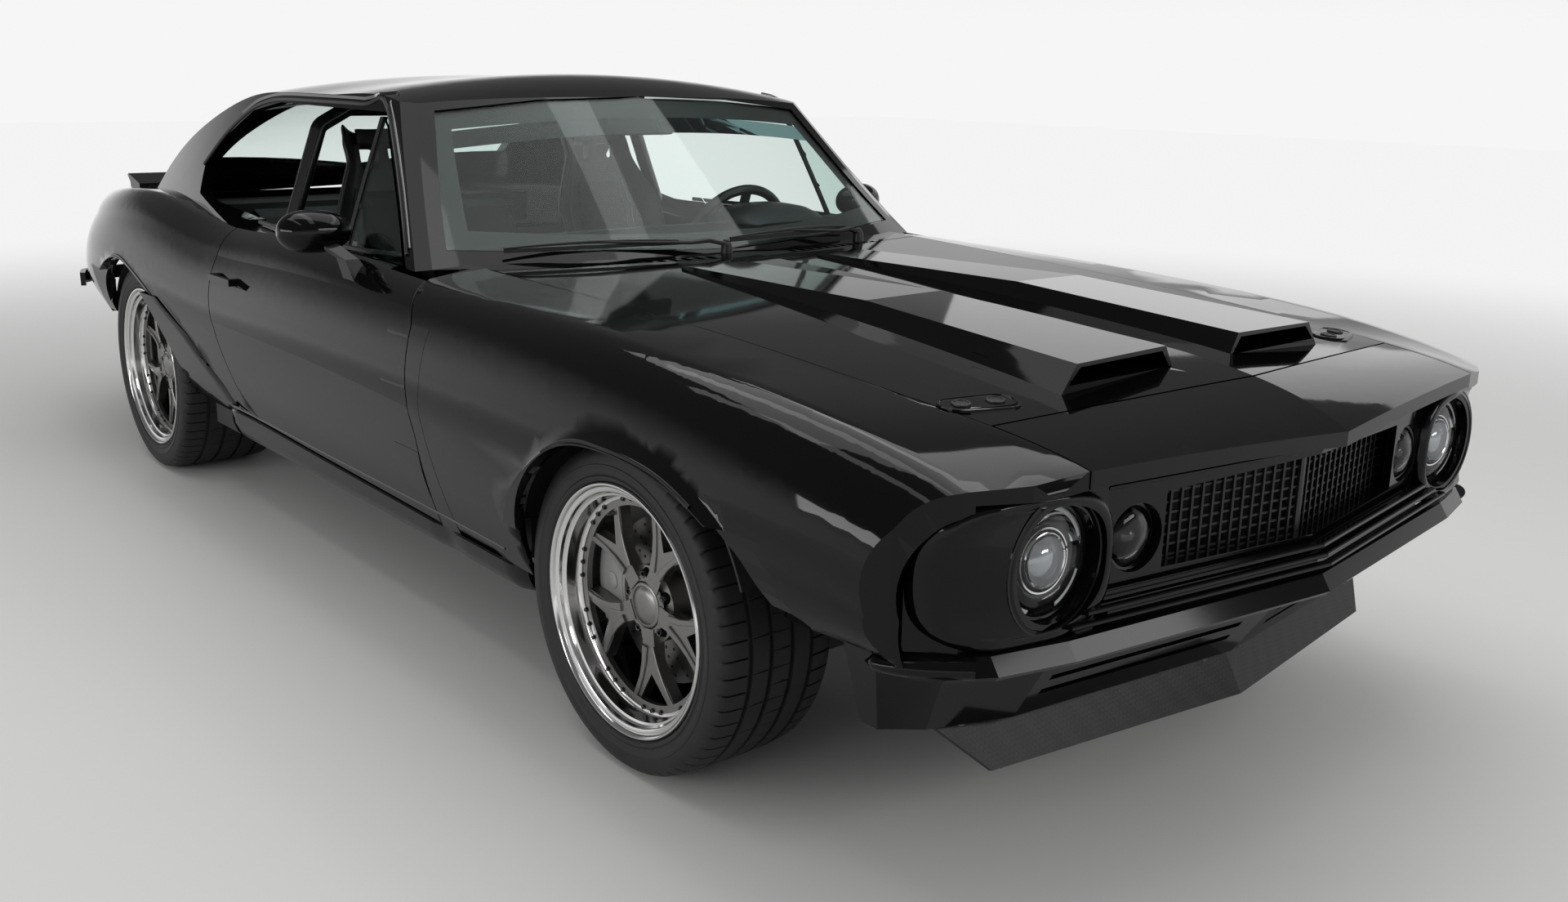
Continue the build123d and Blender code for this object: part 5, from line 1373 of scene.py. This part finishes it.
# Seat pads: foam cushions in fabric, blown up by a short cloth run from a closed cover.
def stuffed(name, rows, material, cap, pressure=4.0):
    """A pad from a grid of places: closed below and blown up as cloth."""
    cover = bmesh.new()
    top = [[cover.verts.new(p) for p, _ in row] for row in rows]
    bottom = [[cover.verts.new(q) for _, q in row] for row in rows]
    tall, wide = len(rows), len(rows[0])
    for r in range(tall - 1):
        for c in range(wide - 1):
            cover.faces.new((top[r][c], top[r][c + 1], top[r + 1][c + 1], top[r + 1][c]))
            cover.faces.new((bottom[r][c], bottom[r + 1][c], bottom[r + 1][c + 1], bottom[r][c + 1]))
    for r in range(tall - 1):
        for c in (0, wide - 1):
            cover.faces.new((top[r][c], top[r + 1][c], bottom[r + 1][c], bottom[r][c]))
    for c in range(wide - 1):
        for r in (0, tall - 1):
            cover.faces.new((top[r][c], bottom[r][c], bottom[r][c + 1], top[r][c + 1]))
    pad = shown(name, cover, [material], "root", 80)
    remesh = pad.modifiers.new("cover", "REMESH")
    remesh.mode = "VOXEL"
    remesh.voxel_size = 0.009
    remesh.use_smooth_shade = True
    graph = bpy.context.evaluated_depsgraph_get()
    covered = bpy.data.meshes.new_from_object(pad.evaluated_get(graph))
    pad.modifiers.clear()
    pad.data = covered
    rest = [v.co.copy() for v in covered.vertices]
    blow = pad.modifiers.new("blow", "CLOTH")
    blow.settings.use_pressure = True
    blow.settings.uniform_pressure_force = pressure
    blow.settings.effector_weights.gravity = 0
    blow.settings.quality = 4
    blow.settings.tension_stiffness = 18
    blow.settings.compression_stiffness = 18
    blow.settings.bending_stiffness = 1.2
    for frame_number in range(1, 13):
        scene.frame_set(frame_number)
    graph = bpy.context.evaluated_depsgraph_get()
    blown = bpy.data.meshes.new_from_object(pad.evaluated_get(graph))
    pad.modifiers.clear()
    pad.data = blown
    for vertex, before in zip(blown.vertices, rest):
        move = vertex.co - before
        if move.length > cap:
            vertex.co = before + move * (cap / move.length)
    blown.shade_smooth()
    scene.frame_set(1)
    return pad


for side_sign, side_name in ((1, "left"), (-1, "right")):
    centre_x = side_sign * 370
    for part, first, last, lift in (("cushion", 7, 19, 20), ("lumbar", 24, 33, 16),
                                    ("upper_back", 34, 44, 16),
                                    ("headrest", 50, 55, 16)):
        columns = (4, 6, 8, 10, 12) if part != "headrest" else (3, 5.5, 8, 10.5, 13)
        rows = [[(seat_form(r, c, lift, centre_x), seat_form(r, c, 1, centre_x)) for c in columns]
                for r in range(first, last + 1, 1)]
        stuffed("seat_%s_%s" % (part, side_name), rows, seat_fabric, 0.012)
    # Piping sewn along both bolsters.
    piping = bmesh.new()
    for column in (3.2, 12.8):
        line = [seat_form(r, column, 3.5, centre_x) for r in range(5, 45)]
        solid_bar(piping, line, 2.2, 2.2, UPWARD if column < 0 else ACROSS, 0)
    shown("seat_piping_" + side_name, piping, [grey_thread], "root", 60)

# Rear bench: two moulded places in leather over foam, on the step ahead of the axle.
bench_line = smooth_line([(2246, 470), (2250, 520), (2290, 545), (2400, 532), (2540, 516), (2580, 548),
                          (2620, 640),
                          (2668, 760), (2700, 815), (2744, 822)], 4)
bench = bmesh.new()
bench_rows = []
for k, (b, z) in enumerate(bench_line):
    row = []
    for c in range(41):
        across = c / 20 - 1
        local = abs(abs(across) - 0.5) / 0.5
        dip = -16 * max(0.0, 1 - local ** 2) + 10 * (abs(across) < 0.06) + 12 * (abs(across) > 0.93)
        ribs = 3.0 * abs(sin(k * 0.9)) if local < 0.62 else 0
        row.append(bench.verts.new(spot(across * 466, b + (dip * 0.4 if k > 16 else 0),
                                        z + (dip if k <= 20 else dip * 0.4)
                                        + ribs)))
    bench_rows.append(row)
foot_row = [bench.verts.new(spot((c / 20 - 1) * 466, 2250, 446)) for c in range(41)]
rear_row = [bench.verts.new(spot((c / 20 - 1) * 466, 2760, 640)) for c in range(41)]
under_row = [bench.verts.new(spot((c / 20 - 1) * 466, 2700, 446)) for c in range(41)]
loop_rows = [foot_row] + bench_rows + [rear_row, under_row]
for first, second in zip(loop_rows, loop_rows[1:] + loop_rows[:1]):
    for c in range(40):
        bench.faces.new((first[c], first[c + 1], second[c + 1], second[c]))
for c in (0, 40):
    bench.faces.new([row[c] for row in loop_rows])
bench_piece = shown("bench_cushions", bench, [black_leather], "root", 50)
bench_soft = bench_piece.modifiers.new("soften", "SUBSURF")
bench_soft.levels = bench_soft.render_levels = 1

# Dash: padded leather top with a sewn seam, an instrument hood with two dials, round air vents and
# a brushed centre panel.
dash = bmesh.new()
for b, z, lift in ((1028, 908, 2.0),):
    line = [spot(x, b - 6 - 0.00012 * x * x, z + lift) for x in range(-640, 641, 40)]
    solid_bar(dash, line, 2.0, 1.2, UPWARD, 1)
for k in range(108):
    x = -642 + 12 * k
    if abs(x) < 640:
        solid_bar(dash, [spot(x, 1012 - 0.00012 * x * x, 909), spot(x + 7, 1012 - 0.00012 * x * x, 909)],
                  0.9, 0.8, UPWARD, 1)
hood_line = [(370 + 172 * cos(pi * k / 16), 905 + 46 * sin(pi * k / 16) ** 0.7) for k in range(17)]
binnacle_rows = [[dash.verts.new(spot(x * share + 370 * (1 - share), back, 905 + (z - 905) * tall)) for x,
                  z in hood_line]
                 for back, share,
                 tall in ((930, 0.72, 0.10), (985, 0.86, 0.72), (1040, 0.97, 0.96), (1098, 1.0, 1.0),
                                           (1102, 0.985, 0.93), (1096, 0.95, 0.84), (1050, 0.93, 0.80))]
for first, second in zip(binnacle_rows, binnacle_rows[1:]):
    for j in range(16):
        dash.faces.new((first[j], first[j + 1], second[j + 1], second[j])).material_index = 0
for x in (300, 440):
    centre = spot(x, 1094, 872)
    turned(dash, centre, ALONG * -1, [(-3, 52), (-7, 50), (-6, 46), (0, 44), (2, 43), (2, 0)], even(40),
           2, ACROSS)
    for k in range(9):
        a = radians(-30 + 30 * k)
        line = [centre + ALONG * -0.0015 + (ACROSS * cos(a) + UPWARD * sin(a)) * r for r in (0.033,
                                                                                             0.039)]
        solid_bar(dash, line, 1.0, 0.6, ALONG, 3)
    a = radians(200)
    solid_bar(dash, [centre, centre + (ACROSS * cos(a) + UPWARD * sin(a)) * 0.03 + ALONG * -0.001], 1.2,
              0.8, ALONG, 3)
for x in (-600, -120, 120, 615):
    centre = spot(x, 1090, 838)
    turned(dash, centre, ALONG * -1, [(0, 36), (-6, 35), (-7, 32), (-3, 30), (6, 28), (8, 0)], even(32),
           2, ACROSS)
    for step in (-16, -6, 6, 16):
        solid_bar(dash,
                  [centre + ACROSS * -0.026 + UPWARD * (step / 1000),
                   centre + ACROSS * 0.026 + UPWARD * (step / 1000)],
                  1.2, 3.0, UPWARD, 2)
panel_line = [spot(x, 1089, 760) for x in (-100, 0, 100)]
solid_bar(dash, panel_line, 4, 44, UPWARD, 4)
for x in (-58, 0, 58):
    round_stud(dash, spot(x, 1092, 745), ALONG * -1, [(0, 15), (-10, 14), (-13, 12), (-13, 0)], 20, 2)
shown("dash_fittings", dash, [black_leather, grey_thread, satin_trim, halo_white, brushed_grey], "root",
      45)

# Door cards: padded trim panels with a pull, a seam and a speaker ring, clipped to each door.
for side_sign, side_name in ((1, "left"), (-1, "right")):
    card = bmesh.new()
    rows = []
    for z in (352, 420, 500, 580, 612, 652, 700, 780, 848, 872):
        row = []
        for k in range(15):
            b = 912 + (1836 - 912) * k / 14
            puff = 5 * sin(pi * k / 14) ** 0.3
            x = 733 - puff if z < 860 else 742
            row.append(card.verts.new(spot(side_sign * x, b, z)))
        rows.append(row)
    for first, second in zip(rows, rows[1:]):
        for j in range(14):
            card.faces.new((first[j], first[j + 1], second[j + 1], second[j]))
    solid_bar(card,
              [spot(side_sign * 728, b, 640 + 6 * sin((b - 1150) / 450 * pi)) for b in range(1150, 1601,
                                                                                             30)], 8, 22,
              ACROSS, 0)
    solid_bar(card, [spot(side_sign * 726.5, b, 740) for b in range(930, 1821, 60)], 1.2, 1.0, ACROSS, 1)
    turned(card, spot(side_sign * 731, 1010, 440), ACROSS * side_sign,
           [(2, 84), (-5, 82), (-6, 76), (0, 72), (0, 0)],
           even(40), 2, ALONG)
    shown("door_card_" + side_name, card, [black_leather, grey_thread, satin_trim], "door_" + side_name,
          50)
